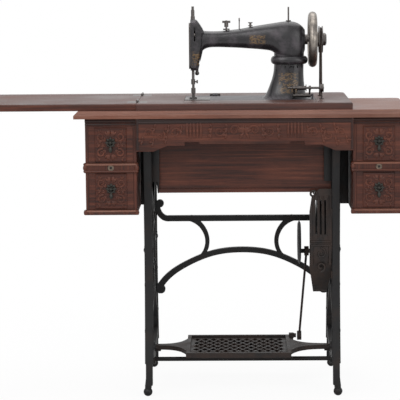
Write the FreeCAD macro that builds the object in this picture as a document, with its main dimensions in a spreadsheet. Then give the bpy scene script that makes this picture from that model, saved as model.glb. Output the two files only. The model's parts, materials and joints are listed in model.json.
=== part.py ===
import FreeCAD, Part
import math
import os
import re
import Sketcher

# Treadle sewing machine: iron stand, drawer cabinet with a hinged leaf, and the machine head.
# Millimetres; +X to the right of a person sitting at it, -Y towards that person, +Z up.

os.makedirs("parts", exist_ok=True)
DOC = FreeCAD.newDocument("treadle_sewing_machine")
V = FreeCAD.Vector

DRIVING = {
    "work_h": 785, "table_w": 894, "table_d": 440, "board_t": 20, "corner_r": 30, "edge_bevel": 11,
    "panel_w": 566, "panel_d": 400, "panel_t": 18, "panel_round": 4, "leaf_l": 566, "hinge_gap": 0.8,
    "bed_l": 350, "bed_d": 178, "bed_left": 160, "bed_gap": 0.6, "flap_d": 70, "flap_gap": 0.8, "ledge": 12,
    "slot_w": 12, "slot_in": 45, "slot_out": 73,
    "knuckle_r": 3, "knuckle_gap": 0.4, "hinge_pin_r": 1.5, "wing_w": 26, "wing_l": 50, "wing_t": 1.6,
    "leaf_hinge_y": 130, "knuckle_half": 8.7, "knuckle_space": 0.3,
    "head_knuckle_r": 3, "head_hinge_back": 6, "head_hinge_left": -80, "head_hinge_right": 120,
    "head_knuckle_half": 7, "head_pin_r": 1.4, "run_gap": 0.05, "dowel_r": 2.5, "dowel_l": 10,
    "apron_t": 18, "apron_in": 5, "ear_h": 86, "ear_in": 238, "arch_h": 71, "arch_out": 202,
    "arch_in": 157, "step_h": 61, "middle_half": 118, "middle_h": 67, "rear_apron_h": 86,
    "case_w": 134, "case_d": 370, "case_in": 15, "case_wall": 8, "case_gap": 17,
    "top_rail": 20, "upper_h": 97, "mid_rail": 24, "lower_h": 99, "base_h": 14, "mould_out": 6,
    "keyhole_r": 8, "keyhole_t": 2, "key_r": 2,
    "drawer_gap": 0.6, "front_t": 16, "box_wall": 7, "box_side": 2.5, "box_depth": 335, "box_low": 22,
    "box_floor": 5, "raised_t": 3, "raised_side": 17, "raised_high": 3,
    "rosette_r": 11, "rosette_t": 2.5, "pull_post_r": 4, "pull_post_l": 8, "pull_pin_r": 1.6,
    "pull_ring_r": 9, "pull_tube_r": 1.9, "pull_rise": 6,
    "dust_gap": 3, "dust_front": 120, "dust_back": 150, "dust_bot": 541, "dust_t": 12,
    "dust_floor": 10, "dust_lip": 5, "dust_slot_in": 78, "dust_slot_out": 107,
    "stand_mid": -8, "leg_t": 18, "foot_in": 38, "foot_out": 4, "foot_r": 12, "foot_neck_r": 8,
    "foot_top": 30, "brace_in": 47, "brace_t": 14, "tie_z": 62, "tie_r": 6,
    "belt_x": 208, "belt_in": 25, "belt_r": 2.9, "belt_seat": 0.3, "fly_z": 388, "fly_groove": 114, "fly_r": 122,
    "fly_w": 22, "fly_rim": 18, "fly_hub_r": 22, "fly_hub_in": 15, "fly_hub_out": 11, "fly_spoke": 14, "axle_r": 8,
    "crank_arm_t": 8, "crank_throw": 25, "crank_pin_r": 6, "crank_pin_l": 32, "crank_disc_r": 60, "crank_disc_t": 8,
    "pitman_eye_r": 13, "pitman_eye_t": 12, "pitman_rod_r": 3.2, "pitman_lean": 17,
    "lug_y": 105, "lug_rise": 12, "lug_gap": 3,
    "treadle_w": 285, "treadle_mid": -19, "treadle_d": 250, "treadle_t": 7, "treadle_rim": 14,
    "treadle_z": 94, "pivot_r": 5, "pivot_l": 14, "pivot_boss_r": 10, "ball_stud_r": 8,
    "guard_gap": 18, "guard_t": 5, "guard_side": 1, "guard_w": 60, "guard_top": 551,
    "shaft_rise": 157, "shaft_r": 6.5, "wheel_in": 22, "wheel_r": 63.5, "wheel_rim_r": 11.5, "wheel_hub_in": 9,
    "wheel_hub_r": 20,
    "pulley_groove": 27, "pulley_r": 36, "pulley_w": 11, "knob_r": 17, "knob_l": 10,
    "needle_x": -138, "needle_y": -6, "presser_y": 12, "bar_r": 3.5, "face_x": -144, "face_t": 4.5,
    "spool_x": 121, "spool_r": 2.2, "tension_x": -47, "tension_r": 2.5, "guide_x": -12, "post_x": 18,
    "stitch_x": 128, "stitch_rise": 77, "plate_w": 68, "plate_back": 32, "plate_split": 22, "plate_t": 2,
    "slide_l": 40, "winder_y": -67, "winder_rise": 30, "winder_pivot_y": -52, "winder_pivot_rise": 9,
    "spindle_r": 3, "bobbin_r": 5.5, "winder_pulley_r": 11, "pressure_r": 5.8, "lug_t": 5,
    "rock_y": 20, "rock_drop": 40, "rock_r": 6, "guide_r": 1.5, "guide_eye_r": 4.5, "guide_eye_t": 3.6, "post_r": 3,
}
DERIVED = {
    "board_top": "work_h - panel_t",
    "board_bot": "board_top - board_t",
    "centre_x": "(panel_w / 2 + hinge_gap + leaf_l - table_w / 2) / 2",
    "bed_right": "bed_l - bed_left",
    "bed_front": "bed_d / 2",
    "flap_t": "panel_t - bed_gap",
    "flap_rear": "0 - bed_front - flap_gap",
    "flap_front": "flap_rear - flap_d",
    "flap_axis_y": "flap_front + flap_t / 2",
    "flap_axis_z": "work_h - flap_t / 2",
    "leaf_axis_x": "0 - panel_w / 2 - hinge_gap / 2",
    "leaf_axis_z": "work_h + knuckle_r + knuckle_gap",
    "head_axis_y": "bed_front + head_hinge_back",
    "head_axis_z": "work_h + head_knuckle_r + knuckle_gap",
    "apron_front": "table_d / 2 - apron_in",
    "case_front": "table_d / 2 - case_in",
    "foot_y": "table_d / 2 - foot_in",
    "brace_y": "foot_y - brace_in",
    "leg_in_right": "belt_x + belt_in",
    "leg_right": "leg_in_right + leg_t / 2",
    "leg_half": "leg_right - stand_mid",
    "leg_left": "stand_mid - leg_half",
    "leg_in_left": "leg_left + leg_t / 2",
    "case_x": "case_gap + leg_t / 2 - leg_left",
    "dust_half": "leg_in_right - dust_gap",
    "guard_left": "leg_in_right - guard_w - guard_side",
    "wheel_x": "belt_x - wheel_in",
    "upper_z": "board_bot - top_rail - upper_h",
    "mid_z": "upper_z - mid_rail",
    "lower_z": "mid_z - lower_h",
    "case_bot": "lower_z - base_h",
    "shaft_z": "work_h + shaft_rise",
    "crank_x": "belt_x - fly_hub_in",
    "pin_z": "fly_z - crank_throw",
    "lug_z": "treadle_z + lug_rise",
    "pitman_x": "crank_x - crank_arm_t - crank_pin_l / 2",
    "lug_x": "pitman_x - pitman_lean",
    "spindle_z": "work_h + winder_rise",
    "rock_z": "work_h - rock_drop",
    "stitch_z": "work_h + stitch_rise",
}

SHEET = DOC.addObject("Spreadsheet::Sheet", "Dims")
for row, (alias, value) in enumerate(list(DRIVING.items()) + list(DERIVED.items()), start=1):
    SHEET.set(f"A{row}", alias.replace("_", " "))
    SHEET.set(f"B{row}", str(value) if alias in DRIVING else "=" + value)
    SHEET.setAlias(f"B{row}", alias)
DOC.recompute()
D = {alias: float(SHEET.get(alias)) for alias in list(DRIVING) + list(DERIVED)}

ALIAS = re.compile(r"([a-z][a-z_]*[a-z])")
TURN = {
    "X": FreeCAD.Rotation(V(0, 0, 1), V(1, 0, 0)),
    "Y": FreeCAD.Rotation(V(0, 0, 1), V(0, 1, 0)),
    "Z": FreeCAD.Rotation(),
}
SIDE_ON = FreeCAD.Rotation(V(0, 1, 0), V(0, 0, 1), V(1, 0, 0), "ZXY")
FACE_ON = FreeCAD.Rotation(V(1, 0, 0), 90)
NODES = []


def bind(item, formulas):
    """Tie properties of an object to formulas over the sheet's names."""
    for name, formula in formulas.items():
        item.setExpression(name, ALIAS.sub(r"Dims.\1", str(formula)))


def place(item, x, y, z, turn=None):
    """Set an object's place by formulas measured from the middle of the table, on the floor."""
    if turn is not None:
        item.Placement = FreeCAD.Placement(V(), turn)
    bind(item, {"Placement.Base.x": f"centre_x + ({x})", "Placement.Base.y": y, "Placement.Base.z": z})
    return item


def block(x, y, z, dx, dy, dz):
    """Box from its low corner and its three sizes."""
    item = DOC.addObject("Part::Box", "Block")
    bind(item, {"Length": dx, "Width": dy, "Height": dz})
    return place(item, x, y, z)


def rod(axis, x, y, z, radius, length):
    """Cylinder along an axis, from the middle of its low end."""
    item = DOC.addObject("Part::Cylinder", "Rod")
    bind(item, {"Radius": radius, "Height": length})
    return place(item, x, y, z, TURN[axis])


def taper(axis, x, y, z, low_radius, high_radius, length):
    """Cone frustum along an axis."""
    item = DOC.addObject("Part::Cone", "Taper")
    bind(item, {"Radius1": low_radius, "Radius2": high_radius, "Height": length})
    return place(item, x, y, z, TURN[axis])


def ring(axis, x, y, z, radius, tube):
    """Round ring about an axis."""
    item = DOC.addObject("Part::Torus", "Ring")
    bind(item, {"Radius1": radius, "Radius2": tube})
    return place(item, x, y, z, TURN[axis])


def ball(x, y, z, radius):
    """Sphere about its middle."""
    item = DOC.addObject("Part::Sphere", "Ball")
    bind(item, {"Radius": radius})
    return place(item, x, y, z)


def join(*parts):
    """One solid made of overlapping pieces."""
    item = DOC.addObject("Part::MultiFuse", "Join")
    item.Shapes = list(parts)
    item.Refine = True
    return item


def group(*parts):
    """Several solids that stay apart under one name."""
    item = DOC.addObject("Part::Compound", "Group")
    item.Links = list(parts)
    return item


def less(base, *tools):
    """A piece with other pieces taken away."""
    item = DOC.addObject("Part::Cut", "Less")
    item.Base = base
    item.Tool = tools[0] if len(tools) == 1 else group(*tools)
    return item


def dress(kind, base, size, wanted):
    """Fillet or chamfer the edges of a piece that a test picks."""
    DOC.recompute()
    item = DOC.addObject(kind, "Dressed")
    item.Base = base
    item.Edges = [(n, size, size) for n, edge in enumerate(base.Shape.Edges, start=1) if wanted(edge)]
    return item


def along(edge, axis):
    """Whether a straight edge runs along an axis."""
    ends = edge.Vertexes
    if len(ends) < 2:
        return False
    span = ends[1].Point - ends[0].Point
    return abs(abs(getattr(span, axis)) - span.Length) < 1e-6


def at_height(edge, height):
    """Whether an edge lies wholly at one height."""
    return all(abs(vertex.Z - height) < 1e-6 for vertex in edge.Vertexes)


def sketched(body, label, plane_role, outline):
    """Closed straight-sided sketch whose corners are held by distances bound to formulas."""
    sketch = body.newObject("Sketcher::SketchObject", label)
    plane = next(item for item in body.Origin.OriginFeatures if item.Role == plane_role)
    sketch.AttachmentSupport = [(plane, "")]
    sketch.MapMode = "FlatFace"
    count = len(outline)
    rough = [V(math.cos(2 * math.pi * n / count), math.sin(2 * math.pi * n / count), 0) for n in range(count)]
    for n in range(count):
        sketch.addGeometry(Part.LineSegment(rough[n] * 100, rough[(n + 1) % count] * 100), False)
    for n in range(count):
        sketch.addConstraint(Sketcher.Constraint("Coincident", n, 2, (n + 1) % count, 1))
    for n, corner in enumerate(outline):
        for kind, formula in zip(("DistanceX", "DistanceY"), corner):
            index = sketch.addConstraint(Sketcher.Constraint(kind, -1, 1, n, 1, 1.0 + n))
            bind(sketch, {f"Constraints[{index}]": formula})
    return sketch


def padded(label, outline, x, y, z, depth):
    """Body padded from an upright outline (across, up) towards -Y."""
    body = DOC.addObject("PartDesign::Body", label)
    pad = body.newObject("PartDesign::Pad", label + "_pad")
    pad.Profile = sketched(body, label + "_outline", "XZ_Plane", outline)
    bind(pad, {"Length": depth})
    body.Tip = pad
    return place(body, x, y, z)


def keep(label, item):
    """Name a finished piece."""
    item.Label = label
    NODES.append(item)
    return item


def ribbon(points, widths, thickness, samples=20):
    """Flat iron band along a smooth centreline, drawn in a plane and given a thickness."""
    centre = Part.BSplineCurve()
    centre.interpolate([V(u, v, 0) for u, v in points])
    sides = ([], [])
    for step in range(samples + 1):
        share = step / samples
        at = centre.FirstParameter + (centre.LastParameter - centre.FirstParameter) * share
        slot = min(int(share * (len(widths) - 1)), len(widths) - 2)
        rest = share * (len(widths) - 1) - slot
        half = (widths[slot] * (1 - rest) + widths[slot + 1] * rest) / 2
        tangent = centre.tangent(at)[0]
        across = V(-tangent.y, tangent.x, 0).normalize() * half
        sides[0].append(centre.value(at) + across)
        sides[1].append(centre.value(at) - across)
    edges = []
    for side in sides:
        curve = Part.BSplineCurve()
        curve.interpolate(side)
        edges.append(curve.toShape())
    edges.append(Part.makeLine(sides[0][0], sides[1][0]))
    edges.append(Part.makeLine(sides[0][-1], sides[1][-1]))
    face = Part.Face(Part.Wire(Part.__sortEdges__(edges)))
    return face.extrude(V(0, 0, thickness))


def bar(start, end, width, thickness):
    """Straight iron band between two points of a plane."""
    return ribbon([start, end], [width, width], thickness, samples=2)


def disc(u, v, radius, thickness):
    """Round boss on a plane."""
    return Part.makeCylinder(radius, thickness, V(u, v, 0))


def casting(solids, x, y, z, turn, tools=()):
    """Bands and bosses cast in one piece and stood in their place."""
    shape = solids[0].multiFuse(list(solids[1:])) if len(solids) > 1 else solids[0]
    for tool in tools:
        shape = shape.cut(tool)
    item = DOC.addObject("Part::Feature", "Casting")
    item.Shape = shape.removeSplitter()
    return place(item, x, y, z, turn)


def oval(across, up, at, power=2.6, steps=24):
    """Closed rounded section: its two (low, high) spans at one station, as (station, across, up)."""
    points = []
    for n in range(steps):
        angle = 2 * math.pi * n / steps
        c, s = math.cos(angle), math.sin(angle)
        u = math.copysign(abs(c) ** (2 / power), c)
        v = math.copysign(abs(s) ** (2 / power), s)
        points.append((at, (across[0] + across[1]) / 2 + u * (across[1] - across[0]) / 2,
                       (up[0] + up[1]) / 2 + v * (up[1] - up[0]) / 2))
    return points


def lofted(rings, order):
    """Solid through closed sections; order tells which of (station, across, up) is x, y and z."""
    wires = []
    for points in rings:
        curve = Part.BSplineCurve()
        curve.interpolate([V(*(point[n] for n in order)) for point in points], PeriodicFlag=True)
        wires.append(Part.Wire(curve.toShape()))
    return Part.makeLoft(wires, True, False)


# Wooden cabinet

def table_board():
    slab = block("-table_w / 2", "-table_d / 2", "board_bot", "table_w", "table_d", "board_t")
    rounded = dress("Part::Fillet", slab, D["corner_r"],
                    lambda edge: along(edge, "z") and edge.Vertexes[0].Y > 0)
    moulded = dress("Part::Chamfer", rounded, D["edge_bevel"], lambda edge: at_height(edge, D["board_top"]))
    well = block("-bed_left + ledge", "flap_front + ledge", "board_bot - 1",
                 "bed_l - 2 * ledge", "bed_front - flap_front - 2 * ledge", "board_t + 2")
    keep("table_board", less(moulded, well, *belt_slots("board_bot - 1", "board_t + 2", "slot_in", "slot_out")))


def belt_slots(z, height, inner, outer):
    """Two slots that let the strands of the belt through."""
    return [block("belt_x - slot_w / 2", start, z, "slot_w", f"{outer} - {inner}", height)
            for start in (f"-{outer}", inner)]


def leaf_hinge_rows():
    return ("-leaf_hinge_y", "leaf_hinge_y")


def head_hinge_rows():
    return ("head_hinge_left", "head_hinge_right")


def top_panel():
    slab = block("-panel_w / 2", "-panel_d / 2", "board_top", "panel_w", "panel_d", "panel_t")
    corner = dress("Part::Fillet", slab, D["corner_r"] * 2 / 3,
                   lambda edge: along(edge, "z") and edge.Vertexes[0].Y > 0
                   and edge.Vertexes[0].X > D["centre_x"])
    soft = dress("Part::Fillet", corner, D["panel_round"],
                 lambda edge: at_height(edge, D["work_h"])
                 and max(vertex.X for vertex in edge.Vertexes) > D["centre_x"])
    tools = [block("-bed_left - bed_gap", "flap_front - bed_gap", "board_top - 1", "bed_l + 2 * bed_gap",
                   "bed_front - flap_front + 2 * bed_gap", "panel_t + 2")]
    tools += belt_slots("board_top - 1", "panel_t + 2", "slot_in", "slot_out")
    for row in leaf_hinge_rows():
        tools.append(block("-panel_w / 2 - 1", f"{row} - wing_l / 2", "work_h - wing_t", "wing_w + 1", "wing_l",
                           "wing_t + 1"))
    for row in head_hinge_rows():
        tools.append(block(f"{row} - 2 * head_knuckle_half - knuckle_space", "bed_front",
                           "work_h - wing_t", "4 * head_knuckle_half + 2 * knuckle_space",
                           "wing_w + head_hinge_back", "wing_t + 1"))
    for x in flap_dowels():
        tools.append(rod("X", x, "flap_axis_y", "flap_axis_z", "dowel_r", "2 * dowel_l + bed_gap"))
    keep("top_panel", less(soft, *tools))


def flap_dowels():
    """Low ends of the two dowels that the front flap turns on."""
    return ("-bed_left - bed_gap - dowel_l", "bed_right - dowel_l")


def leaf():
    slab = block("-panel_w / 2 - hinge_gap - leaf_l", "-panel_d / 2", "board_top", "leaf_l", "panel_d", "panel_t")
    soft = dress("Part::Fillet", slab, D["panel_round"],
                 lambda edge: at_height(edge, D["work_h"])
                 and min(vertex.X for vertex in edge.Vertexes) < -D["leaf_l"] / 2)
    tools = [block("-panel_w / 2 - hinge_gap - wing_w", f"{row} - wing_l / 2", "work_h - wing_t", "wing_w + 1",
                   "wing_l", "wing_t + 1") for row in leaf_hinge_rows()]
    keep("leaf", less(soft, *tools))
    wings = []
    for row in leaf_hinge_rows():
        plate = block("-panel_w / 2 - hinge_gap - wing_w", f"{row} - wing_l / 2", "work_h - wing_t", "wing_w",
                      "wing_l", "wing_t")
        riser = block("leaf_axis_x - knuckle_r", f"{row} - knuckle_half", "work_h - wing_t / 2",
                      "knuckle_r - hinge_gap / 2", "2 * knuckle_half", "knuckle_r + wing_t / 2")
        barrel = rod("Y", "leaf_axis_x", f"{row} - knuckle_half", "leaf_axis_z", "knuckle_r", "2 * knuckle_half")
        bore = rod("Y", "leaf_axis_x", f"{row} - wing_l", "leaf_axis_z", "hinge_pin_r + run_gap", "2 * wing_l")
        wings.append(less(join(plate, riser, barrel), bore))
    keep("leaf_hinge_wings", group(*wings))


def front_flap():
    board = block("-bed_left", "flap_axis_y", "work_h - flap_t", "bed_l", "flap_rear - flap_axis_y", "flap_t")
    nose = rod("X", "-bed_left", "flap_axis_y", "flap_axis_z", "flap_t / 2", "bed_l")
    bores = [rod("X", x, "flap_axis_y", "flap_axis_z", "dowel_r + run_gap", "dowel_l + 1")
             for x in ("-bed_left - 1", "bed_right - dowel_l")]
    keep("front_flap", less(join(board, nose), *bores))


def hinge_plates():
    parts = []
    for row in leaf_hinge_rows():
        plate = block("-panel_w / 2", f"{row} - wing_l / 2", "work_h - wing_t", "wing_w", "wing_l", "wing_t")
        pieces = [plate, rod("Y", "leaf_axis_x", f"{row} - wing_l / 2", "leaf_axis_z", "hinge_pin_r", "wing_l")]
        for start in (f"{row} - wing_l / 2", f"{row} + knuckle_half + knuckle_space"):
            span = "wing_l / 2 - knuckle_half - knuckle_space"
            pieces.append(rod("Y", "leaf_axis_x", start, "leaf_axis_z", "knuckle_r", span))
            pieces.append(block("-panel_w / 2", start, "work_h - wing_t / 2", "knuckle_r - hinge_gap / 2", span,
                                "knuckle_r + wing_t / 2"))
        parts.append(join(*pieces))
    for row in head_hinge_rows():
        wide = "4 * head_knuckle_half + 2 * knuckle_space"
        low = f"{row} - 2 * head_knuckle_half - knuckle_space"
        pieces = [block(low, "head_axis_y", "work_h - wing_t", wide, "wing_w", "wing_t"),
                  rod("X", low, "head_axis_y", "head_axis_z", "head_pin_r", wide)]
        for start in (low, f"{row} + head_knuckle_half + knuckle_space"):
            pieces.append(rod("X", start, "head_axis_y", "head_axis_z", "head_knuckle_r", "head_knuckle_half"))
            pieces.append(block(start, "head_axis_y", "work_h - wing_t / 2", "head_knuckle_half",
                                "head_knuckle_r", "head_knuckle_r + wing_t / 2"))
        parts.append(join(*pieces))
    for x in flap_dowels():
        parts.append(rod("X", x, "flap_axis_y", "flap_axis_z", "dowel_r", "2 * dowel_l + bed_gap"))
    keep("hinge_plates", group(*parts))


def front_apron():
    half = [("case_x", "-ear_h"), ("ear_in", "-ear_h"), ("arch_out", "-arch_h"), ("arch_in", "-arch_h"),
            ("arch_in", "-step_h"), ("middle_half", "-step_h"), ("middle_half", "-middle_h")]
    outline = [("-case_x", 0), ("case_x", 0)] + half
    outline += [("-" + across, up) for across, up in reversed(half)]
    keep("front_apron", padded("front_apron", outline, 0, "-apron_front + apron_t", "board_bot", "apron_t"))


def dust_box():
    wide = "2 * dust_half"
    panel = block("-dust_half", "-dust_front", "dust_bot", wide, "dust_t", "board_bot - dust_bot")
    lip = block("-dust_half", "-dust_front - dust_lip", "dust_bot", wide, "dust_lip + 1", "dust_floor")
    keep("dust_box_front", join(panel, lip))
    inner_front = "-dust_front + dust_t"
    floor = block("-dust_half", inner_front, "dust_bot", wide, "dust_back + dust_front - dust_t", "dust_floor")
    pieces = [less(floor, *belt_slots("dust_bot - 1", "dust_floor + 2", "dust_slot_in", "dust_slot_out"))]
    for x in ("-dust_half", "dust_half - dust_t"):
        pieces.append(block(x, inner_front, "dust_bot + dust_floor", "dust_t",
                            "dust_back + dust_front - dust_t", "board_bot - dust_bot - dust_floor"))
    pieces.append(block("-dust_half + dust_t", "dust_back - dust_t", "dust_bot + dust_floor",
                        "2 * dust_half - 2 * dust_t", "dust_t", "board_bot - dust_bot - dust_floor"))
    pieces.append(block("-case_x", "apron_front - apron_t", "board_bot - rear_apron_h", "2 * case_x", "apron_t",
                        "rear_apron_h"))
    keep("dust_box_tray", group(*pieces))


SIDES = {"left": "-case_x - case_w", "right": "case_x"}
LEVELS = {"upper": ("upper_z", "upper_h"), "lower": ("lower_z", "lower_h")}


def drawer_cases():
    plates = []
    for side, x in SIDES.items():
        shell = block(x, "-case_front", "case_bot", "case_w", "case_d", "board_bot - case_bot")
        pieces = [shell]
        for z, height in (("mid_z", "mid_rail"), ("case_bot", "base_h")):
            strip = block(f"{x} - mould_out / 2", "-case_front - mould_out", z, "case_w + mould_out",
                          "mould_out + 1", height)
            pieces.append(dress("Part::Chamfer", strip, D["mould_out"] / 2,
                                lambda edge: along(edge, "x") and edge.Vertexes[0].Y < -D["case_front"]))
        holes = [block(f"{x} + case_wall", "-case_front - 1", z, "case_w - 2 * case_wall",
                       "case_d - case_wall + 1", height) for z, height in LEVELS.values()]
        keep(f"drawer_case_{side}", less(join(*pieces), *holes))
        middle = (f"{x} + case_w / 2", "-case_front - mould_out - keyhole_t", "mid_z + mid_rail / 2")
        plates.append(less(rod("Y", *middle, "keyhole_r", "keyhole_t"),
                           rod("Y", *middle, "key_r", "keyhole_t")))
    keep("keyhole_plates", group(*plates))


def drawers():
    for level, (z, height) in LEVELS.items():
        for side, x in SIDES.items():
            name = f"{level}_{side}"
            drawer(name, f"({x} + case_wall)", z, height)
            drawer_pull(name, f"({x} + case_w / 2)", f"({z} + {height} / 2 + pull_rise)")


def drawer(name, x, z, height):
    wide = "case_w - 2 * case_wall"
    face = block(f"{x} + drawer_gap", "-case_front", f"{z} + drawer_gap", f"{wide} - 2 * drawer_gap", "front_t",
                 f"{height} - 2 * drawer_gap")
    raised = block(f"{x} + raised_side", "-case_front - raised_t", f"{z} + raised_high",
                   f"{wide} - 2 * raised_side", "raised_t + 1", f"{height} - 2 * raised_high")
    field = dress("Part::Chamfer", raised, D["raised_t"] * 0.8,
                  lambda edge: all(vertex.Y < -D["case_front"] - D["raised_t"] / 2 for vertex in edge.Vertexes))
    start = "-case_front + front_t"
    tall = f"{height} - box_low"
    pieces = [join(face, field)]
    for across in (f"{x} + box_side", f"{x} + {wide} - box_side - box_wall"):
        pieces.append(block(across, start, z, "box_wall", "box_depth", tall))
    inside = f"{wide} - 2 * box_side - 2 * box_wall"
    inner = f"{x} + box_side + box_wall"
    pieces.append(block(inner, f"{start} + box_depth - box_wall", f"{z} + 2 * box_floor", inside, "box_wall",
                        f"{tall} - 2 * box_floor"))
    pieces.append(block(inner, start, f"{z} + box_floor", inside, "box_depth", "box_floor"))
    keep(f"drawer_{name}", group(*pieces))


def drawer_pull(name, x, z):
    face = "-case_front - raised_t - rosette_t"
    pin = f"{face} - pull_post_l + 1.5 * pull_pin_r"
    post = rod("Y", x, f"{face} - pull_post_l", z, "pull_post_r", "pull_post_l + 1")
    plate = rod("Y", x, face, z, "rosette_r", "rosette_t")
    bore = rod("X", f"{x} - pull_post_r - 1", pin, z, "pull_pin_r + run_gap", "2 * pull_post_r + 2")
    cap = ball(x, f"{face} - pull_post_l", z, "pull_post_r")
    keep(f"pull_plate_{name}", less(join(plate, post, cap), bore))
    hoop = ring("Z", x, pin, z, "pull_ring_r", "pull_tube_r")
    hoop.Angle3 = 180
    hoop.Placement = FreeCAD.Placement(hoop.Placement.Base, FreeCAD.Rotation(V(1, 0, 0), -90))
    pieces = [hoop, rod("X", f"{x} - pull_ring_r", pin, z, "pull_pin_r", "2 * pull_ring_r")]
    pieces += [ball(f"{x} {sign} pull_ring_r", pin, z, "pull_tube_r") for sign in "+-"]
    keep(f"pull_ring_{name}", join(*pieces))


# Iron stand

LEG_LINE = ((1.0, 0.0), (0.96, 0.085), (0.87, 0.19), (0.77, 0.36), (0.74, 0.50), (0.78, 0.69), (0.88, 0.87),
            (0.92, 1.0))
LEG_WIDTHS = (17, 18, 20, 24, 26, 24, 24, 26)
LOWER_SCROLL = ((0.0, 0.425), (0.22, 0.35), (0.54, 0.29), (0.84, 0.215))
UPPER_SCROLL = ((0.0, 0.60), (0.26, 0.70), (0.56, 0.74), (0.82, 0.81))
LYRE = ((0.0, 0.60), (0.30, 0.66), (0.44, 0.79), (0.32, 0.90), (0.16, 0.985))
TREADLE_SADDLE = ((-0.90, 0.16), (-0.5, 0.125), (0.0, 0.114), (0.5, 0.125), (0.90, 0.16))
# Share of the leg's height at which the scrolls meet the flywheel's axle.
AXLE_SHARE = 388 / 747
RING_R = 64
SCROLL_W = 13


def leg_frames():
    tall, wide, thick = D["board_bot"], D["foot_y"], D["leg_t"]
    start = D["foot_top"]

    def points(line, sign=1, base=0.0):
        return [(sign * u * wide, base + v * (tall - base)) for u, v in line]

    def height(share):
        """Height of a scroll's knot, which keeps its distance from the flywheel's ring."""
        if share < AXLE_SHARE:
            return D["fly_z"] * share / AXLE_SHARE
        return D["fly_z"] + (tall - D["fly_z"]) * (share - AXLE_SHARE) / (1 - AXLE_SHARE)

    solids = []
    for sign in (-1, 1):
        solids.append(ribbon(points(LEG_LINE, sign, start - 6), LEG_WIDTHS, thick))
        for line in (LOWER_SCROLL, UPPER_SCROLL, LYRE):
            solids.append(ribbon([(sign * u * wide, height(v)) for u, v in line], [SCROLL_W] * 2, thick))
        solids.append(bar((sign * (RING_R - 4), D["fly_z"]), (sign * wide * 0.75, D["fly_z"]), SCROLL_W, thick))
    rim = disc(0, D["fly_z"], RING_R + SCROLL_W / 2, thick).cut(disc(0, D["fly_z"], RING_R - SCROLL_W / 2, thick))
    solids.append(rim)
    solids.append(bar((0, D["fly_z"] + RING_R), (0, height(0.62)), SCROLL_W, thick))
    solids.append(bar((0, D["fly_z"] - RING_R), (0, height(0.40)), SCROLL_W, thick))
    solids.append(ribbon(points(TREADLE_SADDLE), [16, 18, 20, 18, 16], thick))
    solids.append(disc(0, D["treadle_z"], 17, thick))
    solids.append(disc(0, D["tie_z"], 14, thick))
    solids.append(bar((0, D["tie_z"]), (0, D["treadle_z"]), 20, thick))
    solids.append(bar((-0.97 * wide, tall - 9), (0.97 * wide, tall - 9), 18, thick))
    reach = 2 * wide
    below = Part.makeBox(2 * reach, start + reach, thick, V(-reach, -reach, 0))
    above = Part.makeBox(2 * reach, reach, thick, V(-reach, tall, 0))
    for name in ("left", "right"):
        frame = casting(solids, f"leg_{name} - leg_t / 2", 0, 0, SIDE_ON, (below, above))
        keep(f"leg_frame_{name}", frame)


def ball_feet():
    feet = []
    for x in ("leg_left - foot_out", "leg_right + foot_out"):
        for y in ("-foot_y", "foot_y"):
            feet.append(join(ball(x, y, "foot_r", "foot_r"),
                             rod("Z", x, y, "foot_r", "foot_neck_r", "foot_top - foot_r")))
    keep("ball_feet", group(*feet))


ARCH_LINE = ((-1.0, 0.3029), (-0.85, 0.369), (-0.62, 0.4163), (-0.33, 0.4529), (0.0, 0.4647),
             (0.33, 0.4529), (0.62, 0.4163), (0.85, 0.369), (1.0, 0.3029))
STRUT_LINE = ((0.6, 0.586), (0.48, 0.5594), (0.405, 0.5071), (0.42, 0.4677), (0.49, 0.4371))
CURL_LINE = ((0.84, 0.5851), (0.92, 0.591), (0.97, 0.6107), (1.0, 0.6423))
BAR_HIGH = 0.585
BRACE_ENDS = {"top": 0.642, "foot": 0.315}


def cross_brace():
    wide = D["leg_half"] - D["leg_t"] / 2
    tall, thick = D["board_bot"], D["brace_t"]

    def points(line, sign=1):
        return [(sign * u * wide, v * tall) for u, v in line]

    solids = [ribbon(points(ARCH_LINE), [18, 15, 15, 15, 18], thick, samples=28),
              bar((-0.86 * wide, BAR_HIGH * tall), (0.86 * wide, BAR_HIGH * tall), 16, thick)]
    for sign in (-1, 1):
        solids.append(ribbon(points(STRUT_LINE, sign), [18, 13, 12, 12, 9], thick))
        solids.append(ribbon(points(CURL_LINE, sign), [16, 15, 18], thick))
        solids.append(disc(sign * (wide - 11), BRACE_ENDS["top"] * tall, 11, thick))
        solids.append(disc(sign * (wide - 12), BRACE_ENDS["foot"] * tall, 12, thick))
    reach = 4 * wide
    sides = [Part.makeBox(reach, reach, thick, V(start, 0, 0)) for start in (wide, -wide - reach)]
    keep("cross_brace", casting(solids, "stand_mid", "brace_y + brace_t / 2", 0, FACE_ON, sides))


def tie_rod():
    keep("tie_rod", rod("X", "leg_in_left", 0, "tie_z", "tie_r", "leg_in_right - leg_in_left"))


GUARD_ANGLES = (-60, -45, -30, -15, 0)
GUARD_SLOT = (0.60, 0.90)
GUARD_SLOT_W = 5
GUARD_LUG_W = 12


def leg_reach(high):
    """Distance of a leg's middle line from the stand's middle at a height."""
    start = D["foot_top"] - 6
    share = (high - start) / (D["board_bot"] - start)
    for (u, v), (next_u, next_v) in zip(LEG_LINE, LEG_LINE[1:]):
        if v <= share <= next_v:
            return D["foot_y"] * (u + (next_u - u) * (share - v) / (next_v - v))
    return D["foot_y"]


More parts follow.
